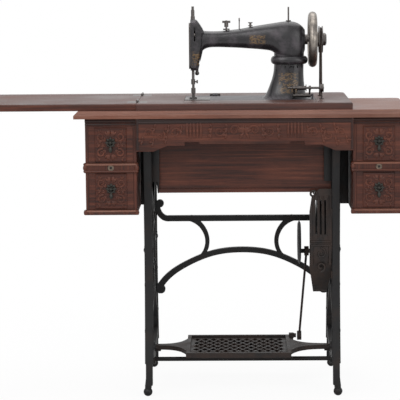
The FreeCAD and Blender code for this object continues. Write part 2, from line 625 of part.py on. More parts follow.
def dress_guard():
    reach = D["fly_r"] + D["guard_gap"] + D["guard_t"] / 2
    line = [(-reach * math.cos(math.radians(a)), D["fly_z"] + reach * math.sin(math.radians(a)))
            for a in GUARD_ANGLES]
    rise = D["guard_top"] - D["fly_z"]
    line += [(-reach + 1, D["fly_z"] + 0.3 * rise), (-reach + 4, D["fly_z"] + 0.65 * rise),
             (-reach + 7, D["guard_top"])]
    band = ribbon(line, [D["guard_t"]] * 2, D["guard_w"], samples=30)
    low = D["fly_z"] - reach
    wide = D["guard_w"]
    tall = D["guard_top"] - low
    shape = ((0.25, 0), (0.75, 0), (1, 0.30), (1, 1), (0.45, 1), (0.10, 0.93), (0, 0.80), (0, 0.30))
    corners = [V(-2 * reach, low + v * tall + (1 if v == 1 else -1 if v == 0 else 0), u * wide) for u, v in shape]
    mask = Part.Face(Part.makePolygon(corners + corners[:1])).extrude(V(2 * reach, 0, 0))
    plate = band.common(mask)
    slot_low, slot_high = (low + share * tall for share in GUARD_SLOT)
    for share in (0.3, 0.5, 0.7):
        plate = plate.cut(Part.makeBox(2 * reach, slot_high - slot_low, GUARD_SLOT_W,
                                       V(-2 * reach, slot_low, share * wide - GUARD_SLOT_W / 2)))
    inset = GUARD_LUG_W / 4
    for high, back in ((D["fly_z"] - 68, 18), (D["fly_z"] + 100, 3)):
        ends = sorted((-reach + back, -leg_reach(high)))
        plate = plate.fuse(Part.makeBox(ends[1] - ends[0] + GUARD_LUG_W, 20, D["guard_side"] + inset,
                                        V(ends[0] - GUARD_LUG_W / 2, high - 10, wide - inset)))
    item = DOC.addObject("Part::Feature", "Guard")
    item.Shape = plate.removeSplitter()
    keep("dress_guard", place(item, "guard_left", 0, 0, SIDE_ON))


def flywheel_bracket():
    half = RING_R
    strap = block("leg_in_right - 12", -half, "fly_z - 13", 12, 2 * half, 26)
    boss = rod("X", "leg_in_right - 12", 0, "fly_z", "2 * axle_r", "leg_t + 12")
    bore = rod("X", "leg_in_right - 20", 0, "fly_z", "axle_r + run_gap", "leg_t + 40")
    keep("flywheel_bracket", less(join(strap, boss), bore))


def stand_fasteners():
    parts = []
    for y in (-RING_R, RING_R):
        parts.append(rod("X", "leg_right + leg_t / 2", y, "fly_z", 7, 5))
    for share in BRACE_ENDS.values():
        z = f"board_bot * {share}"
        parts.append(rod("X", "leg_left - leg_t / 2 - 5", "brace_y", z, 7, 5))
        parts.append(rod("X", "leg_right + leg_t / 2", "brace_y", z, 7, 5))
    parts.append(rod("X", "leg_left - leg_t / 2 - 6", 0, "tie_z", 9, 6))
    parts.append(rod("X", "leg_right + leg_t / 2", 0, "tie_z", 9, 6))
    parts.append(rod("X", "leg_in_left", 0, "treadle_z", "pivot_r", "pivot_l"))
    parts.append(rod("X", "leg_in_right - pivot_l", 0, "treadle_z", "pivot_r", "pivot_l"))
    keep("stand_fasteners", group(*parts))


def belt_groove(z, bottom, outer):
    """Ring that cuts a belt groove into a wheel on the belt's plane."""
    return less(rod("X", "belt_x - belt_r - belt_seat", 0, z, f"{outer} + 1", "2 * belt_r + 2 * belt_seat"),
                rod("X", "belt_x - 2 * belt_r", 0, z, bottom, "4 * belt_r"))


def flywheel():
    rim = less(rod("X", "belt_x - fly_w / 2", 0, "fly_z", "fly_r", "fly_w"),
               rod("X", "belt_x - fly_w / 2", 0, "fly_z", "fly_groove - fly_rim", "fly_w"),
               belt_groove("fly_z", "fly_groove", "fly_r"))
    pieces = [rim, rod("X", "crank_x", 0, "fly_z", "fly_hub_r", "fly_hub_in + fly_hub_out")]
    for n in range(5):
        angle = math.radians(90 + 72 * n)
        spoke = DOC.addObject("Part::Cylinder", "Spoke")
        bind(spoke, {"Radius": "fly_spoke / 2", "Height": "fly_groove - fly_rim / 2"})
        pieces.append(place(spoke, "belt_x", 0, "fly_z",
                            FreeCAD.Rotation(V(0, 0, 1), V(0, math.cos(angle), math.sin(angle)))))
    bore = rod("X", "crank_x - 1", 0, "fly_z", "axle_r", "2 * fly_hub_in + 2 * fly_hub_out")
    keep("flywheel", less(join(*pieces), bore))


def crank():
    """Axle with an arm, a pin for the pitman and a thin disc that closes the pin's free end."""
    arm = "crank_x - crank_arm_t"
    cover = f"{arm} - crank_pin_l - crank_disc_t"
    pieces = [rod("X", arm, 0, "fly_z", "axle_r", "leg_right + leg_t / 2 - crank_x + crank_arm_t"),
              rod("X", arm, 0, "fly_z", "2 * axle_r", "crank_arm_t"),
              block(arm, "-1.4 * axle_r", "pin_z", "crank_arm_t", "2.8 * axle_r", "crank_throw"),
              rod("X", arm, 0, "pin_z", "1.4 * axle_r", "crank_arm_t"),
              rod("X", f"{arm} - crank_pin_l - 1", 0, "pin_z", "crank_pin_r", "crank_pin_l + 2"),
              taper("X", cover, 0, "fly_z", "crank_disc_r - 8", "crank_disc_r", "crank_disc_t / 2"),
              taper("X", f"{cover} + crank_disc_t / 2", 0, "fly_z", "crank_disc_r", "crank_disc_r - 8",
                    "crank_disc_t / 2")]
    keep("crank", join(*pieces))


def pitman():
    """Rod from the crank pin to the ball stud at the back of the treadle."""
    reach = V(-D["pitman_lean"], D["lug_y"], D["lug_z"] - D["pin_z"])
    ends = (("pitman_x", 0, "pin_z"), ("lug_x", "lug_y", "lug_z"))
    pieces = [rod("X", f"{x} - pitman_eye_t / 2", y, z, "pitman_eye_r", "pitman_eye_t") for x, y, z in ends]
    shank = DOC.addObject("Part::Cylinder", "Shank")
    shank.Height = reach.Length
    bind(shank, {"Radius": "pitman_rod_r"})
    pieces.append(place(shank, *ends[0], FreeCAD.Rotation(V(0, 0, 1), reach)))
    bores = [rod("X", f"{x} - pitman_eye_t", y, z, "crank_pin_r + run_gap", "2 * pitman_eye_t")
             for x, y, z in ends]
    keep("pitman", less(join(*pieces), *bores))


LATTICE_COLUMNS = 11
LATTICE_ROWS = 5
WING_WIDTHS = (196, 128, 84, 58, 42, 32, 27, 24, 22)


def treadle():
    low, half = "treadle_z - treadle_t / 2", "treadle_d / 2"
    left, right = "(treadle_mid - treadle_w / 2)", "(treadle_mid + treadle_w / 2)"
    frame = less(block(left, f"-{half}", low, "treadle_w", "treadle_d", "treadle_rim"),
                 block(f"{left} + 10", f"-{half} + 10", "treadle_z + treadle_t / 2", "treadle_w - 20",
                       "treadle_d - 20", "treadle_rim"))
    step_x = (D["treadle_w"] - 30) / LATTICE_COLUMNS
    step_y = (D["treadle_d"] - 30) / LATTICE_ROWS
    holes = []
    for row in range(2 * LATTICE_ROWS - 1):
        for column in range(LATTICE_COLUMNS - row % 2):
            x = 15 + step_x * (column + 0.5 + 0.5 * (row % 2))
            y = 15 + step_y * (row + 1) / 2
            corners = [V(x + u * step_x * 0.40, y + v * step_y * 0.40, 0)
                       for u, v in ((-1, 0), (0, -1), (1, 0), (0, 1), (-1, 0))]
            holes.append(Part.Face(Part.makePolygon(corners)).extrude(V(0, 0, 3 * D["treadle_rim"])))
    piercing = DOC.addObject("Part::Feature", "Piercing")
    piercing.Shape = Part.makeCompound(holes)
    place(piercing, left, f"-{half}", "treadle_z - treadle_rim")
    pieces = [less(frame, piercing)]
    inside = D["treadle_mid"] - D["treadle_w"] / 2, D["treadle_mid"] + D["treadle_w"] / 2
    reaches = (D["leg_in_left"] + D["pivot_l"] / 2 - inside[0], D["leg_in_right"] - D["pivot_l"] / 2 - inside[1])
    for edge, reach in zip((left, right), reaches):
        start = math.copysign(5, -reach)
        wing = ribbon([(start, 0), (reach, 0)], WING_WIDTHS, D["treadle_rim"] - 2)
        pieces.append(casting([wing], edge, 0, low, TURN["Z"]))
    for x in ("leg_in_left + 1", "leg_in_right - pivot_l - 1"):
        pieces.append(rod("X", x, 0, "treadle_z", "pivot_boss_r", "pivot_l"))
    stud = "(lug_x - pitman_eye_t / 2 - lug_gap)"
    pieces.append(block(f"{right} - 5", "lug_y - 10", low, f"{stud} - 8 - {right} + 5", 20, "treadle_t + 4"))
    pieces.append(rod("X", f"{stud} - 16", "lug_y", "lug_z", 6, 16))
    pieces.append(block(f"{stud} - 20", "lug_y - 8", low, 12, 16, 22))
    pieces.append(ball(f"{stud} - 10", "lug_y", "lug_z", "ball_stud_r"))
    bores = [rod("X", x, 0, "treadle_z", "pivot_r + run_gap", "pivot_l + 2")
             for x in ("leg_in_left - 1", "leg_in_right - pivot_l - 1")]
    keep("treadle", less(join(*pieces), *bores))


def drive_belt():
    """Round leather belt round the two grooves, with straight strands between them."""
    small = D["pulley_groove"] + D["belt_r"] + D["belt_seat"]
    large = D["fly_groove"] + D["belt_r"] + D["belt_seat"]
    lean = math.asin((large - small) / (D["shaft_z"] - D["fly_z"]))
    top, low = V(0, 0, D["shaft_z"]), V(0, 0, D["fly_z"])
    out = V(0, math.cos(lean), math.sin(lean))
    front = V(0, -out.y, out.z)
    path = [Part.Arc(top + front * small, top + V(0, 0, small), top + out * small).toShape(),
            Part.makeLine(top + out * small, low + out * large),
            Part.Arc(low + out * large, low - V(0, 0, large), low + front * large).toShape(),
            Part.makeLine(low + front * large, top + front * small)]
    section = Part.Wire(Part.makeCircle(D["belt_r"], top + out * small, V(0, out.z, -out.y)))
    item = DOC.addObject("Part::Feature", "Belt")
    item.Shape = Part.Wire(path[1:] + path[:1]).makePipeShell([section], True, True)
    keep("drive_belt", place(item, "belt_x", 0, 0))


# Machine head

ARM_STATIONS = ((-128, 189, 106, 24), (-114, 184, 126, 23.5), (-100, 181.5, 135.5, 23), (-80, 181, 138, 23.5),
                (-60, 181.5, 137.8, 24), (-35, 184, 136.8, 25), (-10, 187, 135.5, 26), (16, 191.5, 133.5, 28),
                (42, 196, 131.5, 30), (60, 198.7, 129.4, 31.5), (74, 200.8, 126.6, 32.6), (84, 202.3, 120, 33.5),
                (94, 203.8, 109, 34.2), (108, 205.6, 97, 35.4), (124, 206.3, 92, 36), (138, 204.3, 92, 35),
                (150, 199, 97, 32.5), (159, 191.5, 110, 28.5), (165, 184, 128, 24))
PILLAR_STATIONS = ((0, 50, 172, 48), (7, 57, 169, 43), (24, 66, 165, 36), (55, 77, 162, 32), (95, 82, 162, 31),
                   (125, 82, 163, 32), (160, 88, 158, 32))
COLLAR_STATIONS = ((91, 81, 164, 33), (95, 75, 171, 38), (109, 75, 171, 38), (113, 81, 164, 33))
FACE_OUTLINE = ((-144, 76), (-124, 76), (-118, 100), (-111, 130), (-107, 150), (-107, 178), (-112, 189),
                (-119, 200), (-127, 211), (-132, 213), (-144, 213))
FACE_HALF = 26
FACE_ROUND = 8


def upright(stations, power):
    """Loft over stations of (height, left, right, half depth)."""
    rings = [oval((left, right), (-deep, deep), high, power) for high, left, right, deep in stations]
    return lofted(rings, (1, 2, 0))


def face_block():
    """Box end of the arm that holds the needle and presser bars."""
    corners = [V(x, -FACE_HALF, z) for x, z in FACE_OUTLINE]
    shape = Part.Face(Part.makePolygon(corners + corners[:1])).extrude(V(0, 2 * FACE_HALF, 0))
    rims = [edge for edge in shape.Edges
            if abs(edge.Vertexes[0].Y - edge.Vertexes[1].Y) < 1e-6 and edge.BoundBox.XMax > D["face_x"] + 1]
    return shape.makeChamfer(FACE_ROUND, rims)


def machine_arm():
    rings = [oval((-deep, deep), (low, high), x) for x, high, low, deep in ARM_STATIONS]
    shape = lofted(rings, (0, 1, 2))
    shape = shape.fuse(upright(PILLAR_STATIONS, 2.4))
    shape = shape.fuse(upright(COLLAR_STATIONS, 2.4))
    shape = shape.fuse(face_block())
    casting_item = DOC.addObject("Part::Feature", "Arm")
    casting_item.Shape = shape
    place(casting_item, 0, 0, "work_h")
    bars = [rod("Z", "needle_x", y, "work_h + 60", "bar_r + run_gap", 160) for y in ("needle_y", "presser_y")]
    tools = bars + [
        block("face_x - 1", -20, "work_h + 91", 27, 40, 92),
        rod("X", -120, 0, "shaft_z", "shaft_r + 3", 300),
        rod("X", -118, 0, "shaft_z", "shaft_r + 5", 17),
        rod("X", 148, 0, "shaft_z", "shaft_r + 7", 40),
        rod("Z", "needle_x", "presser_y", "work_h + 180", "pressure_r", 40),
        block("needle_x + 3.4", -45, "work_h + 155", 4, 30, 37),
        block("stitch_x - 3", -60, "stitch_z - 9", 6, 40, 18),
        rod("Z", "spool_x", 0, "work_h + 196", "spool_r", 30),
        rod("Z", "tension_x", 0, "work_h + 170", "tension_r", 40),
        rod("Z", "guide_x", 0, "work_h + 175", "guide_r", 40),
        rod("Z", "post_x", 0, "work_h + 180", "post_r", 40)]
    stud = rod("Y", "needle_x + 10", 15, "work_h + 110", "dowel_r", 20)
    hollow = less(casting_item, *tools)
    keep("machine_arm", join(hollow, stud))


def machine_bed():
    slab = block("-bed_left", "-bed_front", "board_top", "bed_l", "bed_d", "panel_t")
    soft = dress("Part::Fillet", slab, 6, lambda edge: along(edge, "z"))
    pieces = [soft]
    for row in head_hinge_rows():
        pieces.append(rod("X", f"{row} - head_knuckle_half", "head_axis_y", "head_axis_z", "head_knuckle_r",
                          "2 * head_knuckle_half"))
        pieces.append(block(f"{row} - head_knuckle_half", "bed_front - 12", "work_h - 1", "2 * head_knuckle_half",
                            "12 + head_hinge_back - 2", "head_axis_z - work_h + 1"))
    for x in (-70, 120):
        pieces.append(block(x, "rock_y - 11", "rock_z - 11", 14, 22, "board_top - rock_z + 12"))
    for x in (124, 181):
        pieces.append(block(x, "winder_pivot_y - 7", "work_h - 1", "lug_t", 10.6, "winder_pivot_rise + 6"))
    pieces.append(rod("X", 124, "winder_pivot_y", "work_h + winder_pivot_rise", 2.5, 62))
    tools = [block("-bed_left - 1", "-bed_front - 1", "work_h - plate_t", "plate_w + 1",
                   "bed_front + plate_back + 1", "plate_t + 1"),
             rod("Z", "needle_x", "needle_y", "board_top - 1", 6, "panel_t + 2"),
             rod("X", -80, "rock_y", "rock_z", "rock_r + run_gap", 240)]
    for row in head_hinge_rows():
        tools.append(rod("X", f"{row} - 20", "head_axis_y", "head_axis_z", "head_pin_r + run_gap", 40))
    keep("machine_bed", less(join(*pieces), *tools))


def bed_plates():
    plate = block("-bed_left", "-plate_split", "work_h - plate_t", "plate_w", "plate_back + plate_split", "plate_t")
    slots = [block(f"needle_x {shift}", "needle_y - 14", "work_h - plate_t - 1", 3, 28, "plate_t + 2")
             for shift in ("- 10", "+ 7")]
    keep("needle_plate", less(plate, rod("Z", "needle_x", "needle_y", "work_h - plate_t", 2.5, "plate_t"), *slots))
    keep("slide_plate", block("-bed_left", "-plate_split - drawer_gap / 2 - slide_l", "work_h - plate_t", "plate_w",
                              "slide_l", "plate_t"))


def shuttle_carrier():
    shaft = rod("X", -124, "rock_y", "rock_z", "rock_r", 270)
    lever = block(-124, "rock_y - 66", "rock_z - 6", 12, 66, 12)
    carrier = block(-140, "rock_y - 74", "rock_z - 8", 30, 12, 18)
    collar = rod("X", 136, "rock_y", "rock_z", 10, 12)
    keep("shuttle_carrier", join(shaft, lever, carrier, collar))


def main_shaft():
    pieces = [rod("X", -124, 0, "shaft_z", "shaft_r", "belt_x + 124 + pulley_w / 2"),
              rod("X", -124, 0, "shaft_z", 14, 5),
              rod("X", -130.6, 0, "shaft_z + 10", 3, 7)]
    keep("main_shaft", join(*pieces))
    bushings = [less(rod("X", x, 0, "shaft_z", radius, length),
                     rod("X", f"{x} - 1", 0, "shaft_z", "shaft_r + run_gap", 60))
                for x, radius, length in ((-118, "shaft_r + 5", 17), (148, "shaft_r + 7", 24))]
    keep("shaft_bushings", group(*bushings))


def handwheel():
    pieces = [ring("X", "wheel_x", 0, "shaft_z", "wheel_r", "wheel_rim_r"),
              rod("X", "wheel_x - wheel_hub_in", 0, "shaft_z", "wheel_hub_r",
                  "belt_x - wheel_x + wheel_hub_in - pulley_w / 2")]
    for n in range(6):
        angle = math.radians(30 + 60 * n)
        spoke = DOC.addObject("Part::Cylinder", "Spoke")
        bind(spoke, {"Radius": "wheel_rim_r * 0.7", "Height": "wheel_r"})
        pieces.append(place(spoke, "wheel_x", 0, "shaft_z",
                            FreeCAD.Rotation(V(0, 0, 1), V(0, math.cos(angle), math.sin(angle)))))
    pulley = less(rod("X", "belt_x - pulley_w / 2", 0, "shaft_z", "pulley_r", "pulley_w"),
                  belt_groove("shaft_z", "pulley_groove", "pulley_r"))
    bore = rod("X", "wheel_x - 30", 0, "shaft_z", "shaft_r", 100)
    keep("handwheel", less(join(*pieces, pulley), bore))
    knob = "belt_x + pulley_w / 2"
    keep("clutch_knob", join(rod("X", knob, 0, "shaft_z", "knob_r", "knob_l - 3"),
                             taper("X", f"{knob} + knob_l - 3", 0, "shaft_z", "knob_r", "knob_r - 4", 3)))


def needle_gear():
    bar_rod = rod("Z", "needle_x", "needle_y", "work_h + 45", "bar_r", 166)
    stop = block("needle_x - 4.5", "needle_y - 6", "work_h + 138", 7.8, 10, 10)
    clamp = rod("Z", "needle_x", "needle_y", "work_h + 38", 5.5, 14)
    screw = rod("X", "needle_x", "needle_y", "work_h + 45", 2, 12)
    head = rod("X", "needle_x + 9", "needle_y", "work_h + 45", 4.5, 4)
    needle = join(rod("Z", "needle_x", "needle_y", "work_h + 16", 0.9, 23),
                  taper("Z", "needle_x", "needle_y", "work_h + 11", 0.2, 0.9, 5))
    keep("needle_bar", group(join(bar_rod, stop, clamp, screw, head), less(needle, clamp)))


def presser_gear():
    keep("presser_bar", rod("Z", "needle_x", "presser_y", "work_h + 14", "bar_r", 234))
    sole = block("needle_x - 10", "needle_y - 14", "work_h + 1.2", 20, 34, 2.6)
    heel = block("needle_x - 4", "presser_y - 5", "work_h + 3", 8, 10, 11)
    grip = rod("Z", "needle_x", "presser_y", "work_h + 13", 6, 14)
    slit = block("needle_x - 2", "needle_y - 15", "work_h", 4, 19, 5)
    bore = rod("Z", "needle_x", "presser_y", "work_h + 14", "bar_r", 20)
    keep("presser_foot", less(join(sole, heel, grip), slit, bore))
    tube = join(rod("Z", "needle_x", "presser_y", "work_h + 183", "pressure_r", 38),
                rod("Z", "needle_x", "presser_y", "work_h + 220", "pressure_r - 1", 18))
    keep("pressure_screw", less(tube, rod("Z", "needle_x", "presser_y", "work_h + 170", "bar_r + run_gap", 70)))
    x, z = "needle_x + 10", "work_h + 110"
    lever = join(rod("Y", x, 29, z, 7, 5), block(f"{x} - 4", 29.5, f"{z} - 42", 8, 4, 42),
                 ball(x, 31.5, f"{z} - 44", 6))
    keep("presser_lifter", less(lever, rod("Y", x, 20, z, "dowel_r + run_gap", 30)))


def face_gear():
    plate = block("face_x - face_t", -19, "work_h + 80", "face_t", 38, 124)
    soft = dress("Part::Fillet", plate, 12, lambda edge: along(edge, "x"))
    stud = rod("X", "face_x - 1", 2, "work_h + 172", 2, 13.6)
    keep("face_plate", join(soft, stud))
    x = "needle_x + 4.2"
    lever = join(rod("X", x, 2, "work_h + 172", 4.5, 2.4), block(x, -40, "work_h + 169.5", 2.4, 42, 5),
                 rod("X", x, -41, "work_h + 172", 5, 2.4))
    keep("take_up_lever", less(lever, rod("X", f"{x} - 5", 2, "work_h + 172", "2 + run_gap", 20),
                               rod("X", f"{x} - 5", -41, "work_h + 172", 2, 20)))


def arm_top():
    keep("spool_pin", join(rod("Z", "spool_x", 0, "work_h + 196", "spool_r", 49),
                           rod("Z", "spool_x", 0, "work_h + 206.6", 7, 2.5)))
    keep("tension_post", join(rod("Z", "tension_x", 0, "work_h + 170", "tension_r", 40),
                              rod("Z", "tension_x", 0, "work_h + 184", 9, 1.6),
                              rod("Z", "tension_x", 0, "work_h + 186.2", 9, 1.6),
                              rod("Z", "tension_x", 0, "work_h + 184.8", 5, 2)))
    nut = join(rod("Z", "tension_x", 0, "work_h + 192", 5.5, 12),
               block("tension_x - 11", -1.5, "work_h + 203", 22, 3, 6))
    keep("tension_nut", less(nut, rod("Z", "tension_x", 0, "work_h + 180", "tension_r + run_gap", 40)))
    eye = less(rod("X", "guide_x - guide_eye_t / 2", 0, "work_h + 212", "guide_eye_r", "guide_eye_t"),
               rod("X", "guide_x - guide_eye_t", 0, "work_h + 212", "guide_eye_r / 2", "2 * guide_eye_t"))
    finial = join(rod("Z", "guide_x", 0, "work_h + 175", "guide_r", 34), eye)
    spool = join(rod("Z", "post_x", 0, "work_h + 180", "post_r", 24), rod("Z", "post_x", 0, "work_h + 194", 6, 2.5),
                 rod("Z", "post_x", 0, "work_h + 202", 6, 2.5))
    keep("thread_guides", group(finial, spool))


def stitch_regulator():
    keep("stitch_regulator", join(rod("Y", "stitch_x", -44, "stitch_z", "dowel_r", 20),
                                  rod("Y", "stitch_x", -52, "stitch_z", 7, 9)))


def bobbin_winder():
    sleeve = rod("X", 131, "winder_pivot_y", "work_h + winder_pivot_rise", 5.5, 48)
    pieces = [sleeve]
    lean = V(0, D["winder_y"] - D["winder_pivot_y"], D["winder_rise"] - D["winder_pivot_rise"])
    for x in (134, 176):
        arm = DOC.addObject("Part::Cylinder", "Arm")
        arm.Radius = D["spindle_r"] * 0.8
        arm.Height = lean.Length - D["spindle_r"] / 2
        pieces.append(place(arm, x, "winder_pivot_y", "work_h + winder_pivot_rise",
                            FreeCAD.Rotation(V(0, 0, 1), lean)))
        pieces.append(rod("X", x - 3, "winder_y", "spindle_z", "2 * spindle_r", 6))
    bores = [rod("X", 100, "winder_pivot_y", "work_h + winder_pivot_rise", 2.55, 120),
             rod("X", 100, "winder_y", "spindle_z", "spindle_r + run_gap", 120)]
    keep("winder_frame", less(join(*pieces), *bores))
    spindle = join(rod("X", 118, "winder_y", "spindle_z", "spindle_r", "belt_x + 6 - 118"),
                   rod("X", "belt_x - 5", "winder_y", "spindle_z", "winder_pulley_r", 10),
                   rod("X", 141, "winder_y", "spindle_z", 9, 2), rod("X", 165, "winder_y", "spindle_z", 9, 2),
                   rod("X", 141, "winder_y", "spindle_z", "bobbin_r", 26))
    keep("winder_spindle", spindle)


BUILDERS = (leg_frames, cross_brace, tie_rod, ball_feet, dress_guard, flywheel_bracket, stand_fasteners, flywheel,
            crank, pitman, treadle, drive_belt, table_board, top_panel, leaf, front_flap, hinge_plates, front_apron,
            dust_box, drawer_cases, drawers, machine_bed, machine_arm, bed_plates, shuttle_carrier, main_shaft,
            handwheel, needle_gear, presser_gear, face_gear, arm_top, stitch_regulator, bobbin_winder)
for build in BUILDERS:
    build()
DOC.recompute()

faults = [item.Label for item in DOC.Objects if {"Invalid", "Error"} & set(item.State)]
for node in NODES:
    if node.Shape.isNull() or not node.Shape.isValid():
        faults.append(node.Label)
if faults:
    raise RuntimeError("not sound: " + ", ".join(faults))
for node in NODES:
    node.Shape.exportStep(f"parts/{node.Label}.step")
print(len(NODES), "pieces written")
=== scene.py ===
import json
import math

import bpy
from bpy.props import FloatProperty, FloatVectorProperty, PointerProperty
from mathutils import Matrix, Vector


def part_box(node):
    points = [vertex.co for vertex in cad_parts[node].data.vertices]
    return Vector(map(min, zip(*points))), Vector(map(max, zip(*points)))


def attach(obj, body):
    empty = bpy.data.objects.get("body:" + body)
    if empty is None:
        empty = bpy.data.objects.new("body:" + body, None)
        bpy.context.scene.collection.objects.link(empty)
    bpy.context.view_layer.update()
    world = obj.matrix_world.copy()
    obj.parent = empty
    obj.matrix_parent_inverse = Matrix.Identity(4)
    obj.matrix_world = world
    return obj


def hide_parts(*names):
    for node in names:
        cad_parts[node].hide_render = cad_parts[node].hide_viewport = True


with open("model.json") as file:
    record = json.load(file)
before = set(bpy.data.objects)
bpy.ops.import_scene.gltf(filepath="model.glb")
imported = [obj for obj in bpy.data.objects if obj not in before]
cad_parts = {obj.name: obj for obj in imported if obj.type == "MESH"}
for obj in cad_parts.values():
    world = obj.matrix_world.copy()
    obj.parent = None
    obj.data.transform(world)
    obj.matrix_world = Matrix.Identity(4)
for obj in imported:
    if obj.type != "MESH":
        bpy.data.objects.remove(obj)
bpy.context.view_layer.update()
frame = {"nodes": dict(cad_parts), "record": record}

bl_info = {
    "name": "Treadle sewing machine looks",
    "version": (1, 0, 0),
    "blender": (4, 5, 0),
    "location": "View3D > Sidebar > Sewing",
    "description": "Finishes, carving and small fittings of a treadle sewing machine in its cabinet",
    "category": "Object",
}

MM = 0.001
# Middle of the table in the row frame, in millimetres; drawings below are measured from it.
TABLE_LOW, TABLE_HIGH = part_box("table_board")
CENTRE = (TABLE_LOW.x + TABLE_HIGH.x) / 2 / MM


def linear(code):
    """Linear colour of an sRGB hex code."""
    parts = [int(code[n:n + 2], 16) / 255 for n in (1, 3, 5)]
    return tuple(c / 12.92 if c <= 0.04045 else ((c + 0.055) / 1.055) ** 2.4 for c in parts)


def colour_prop(name, code, description):
    return FloatVectorProperty(name=name, description=description, subtype="COLOR", size=3,
                               min=0, max=1, default=linear(code))


def length_prop(name, millimetres, description):
    return FloatProperty(name=name, description=description, unit="LENGTH",
                         default=millimetres * MM, min=0)


class SewingSizes(bpy.types.PropertyGroup):
    """Sizes of the carving and small fittings."""
    grain: length_prop("Grain width", 7, "Width of the walnut's figure across the grain")
    pore: length_prop("Pore width", 1.1, "Width of the walnut's pores, coarser than life so that they show")
    grit: length_prop("Casting grit", 2.2, "Spacing of the sand marks in cast iron")
    relief: FloatProperty(name="Relief", default=0.9,
                          description="Height of carving as a share of a round stroke")
    pulley_w: length_prop("Pulley width", 11, "Width of the handwheel's belt pulley")
    ground_t: length_prop("Carving ground", 0.5, "Thickness of the punched ground behind the carving")
    ground_edge: length_prop("Ground border", 2, "Plain border round the punched ground")


class SewingColours(bpy.types.PropertyGroup):
    """Colours of the finishes."""
    walnut_dark: colour_prop("Walnut dark", "#1f0e0a", "Dark streaks of the stained walnut")
    walnut_mid: colour_prop("Walnut middle", "#462116", "Body colour of the stained walnut")
    # Light patches of this colour, raised by a finish's lift, also serve as painted highlight on carving and
    # mouldings.
    walnut_light: colour_prop("Walnut light", "#6b3c2b", "Worn walnut")
    # Light end of the faded finish: faded top of the table board, and painted highlight on the top beads of
    # the drawer cases.
    walnut_worn_highlight: colour_prop("Walnut faded", "#846558", "Faded walnut of the top's edges")
    iron: colour_prop("Iron", "#0d0c0d", "Black paint on the cast iron")
    rust: colour_prop("Rust", "#2a1f1a", "Brown wear on the cast iron")
    japan: colour_prop("Japan", "#1b191c", "Black japan of the machine head")
    japan_worn: colour_prop("Worn japan", "#474146", "Rubbed japan")
    gilt: colour_prop("Gilt", "#7d6038", "Worn gold ornament")
    steel: colour_prop("Steel", "#5d5957", "Dulled steel fittings")
    nickel: colour_prop("Nickel", "#8d867e", "Nickel of the handwheel")
    brass: colour_prop("Brass", "#6e6156", "Keyhole plates")
    bronze: colour_prop("Bronze", "#26241f", "Drawer pulls")
    leather: colour_prop("Leather", "#2f231c", "Drive belt")
    floor: colour_prop("Floor", "#f4f4f4", "Studio floor")


def sizes():
    return bpy.context.scene.sewing_sizes


def colours():
    return bpy.context.scene.sewing_colours


# Materials

def add_node(tree, kind, values=None, links=None, stops=()):
    """Add a node, set its sockets or properties, link its inputs and set the stops of a ramp."""
    node = tree.nodes.new(kind)
    for name, value in (values or {}).items():
        if isinstance(name, int) or name in node.inputs:
            node.inputs[name].default_value = value
        else:
            setattr(node, name, value)
    for name, socket in (links or {}).items():
        tree.links.new(socket, node.inputs[name])
    for index, (place, colour) in enumerate(stops):
        ramp = node.color_ramp.elements
        stop = ramp[index] if index < len(ramp) else ramp.new(place)
        stop.position = place
        stop.color = (*colour, 1)
    return node


def start_material(name, values):
    """A material with its shader and the piece's own coordinates."""
    material = bpy.data.materials.new(name)
    material.use_nodes = True
    tree = material.node_tree
    tree.nodes.clear()
    shader = add_node(tree, "ShaderNodeBsdfPrincipled", values)
    add_node(tree, "ShaderNodeOutputMaterial", links={"Surface": shader.outputs["BSDF"]})
    coords = add_node(tree, "ShaderNodeTexCoord").outputs["Object"]
    return tree, shader, coords


def scaled(tree, coords, spacing):
    """Coordinates in which one unit is the given spacing along each axis."""
    return add_node(tree, "ShaderNodeMapping", {"Scale": [1 / step for step in spacing]},
                    {"Vector": coords}).outputs["Vector"]


# Walnut: how much longer the figure and the pores run along the grain, and the spacing of faded patches in
# metres.
FIGURE_STRETCH = 28
PORE_STRETCH = 18
FADE_STEP = (0.16, 0.16, 0.09)


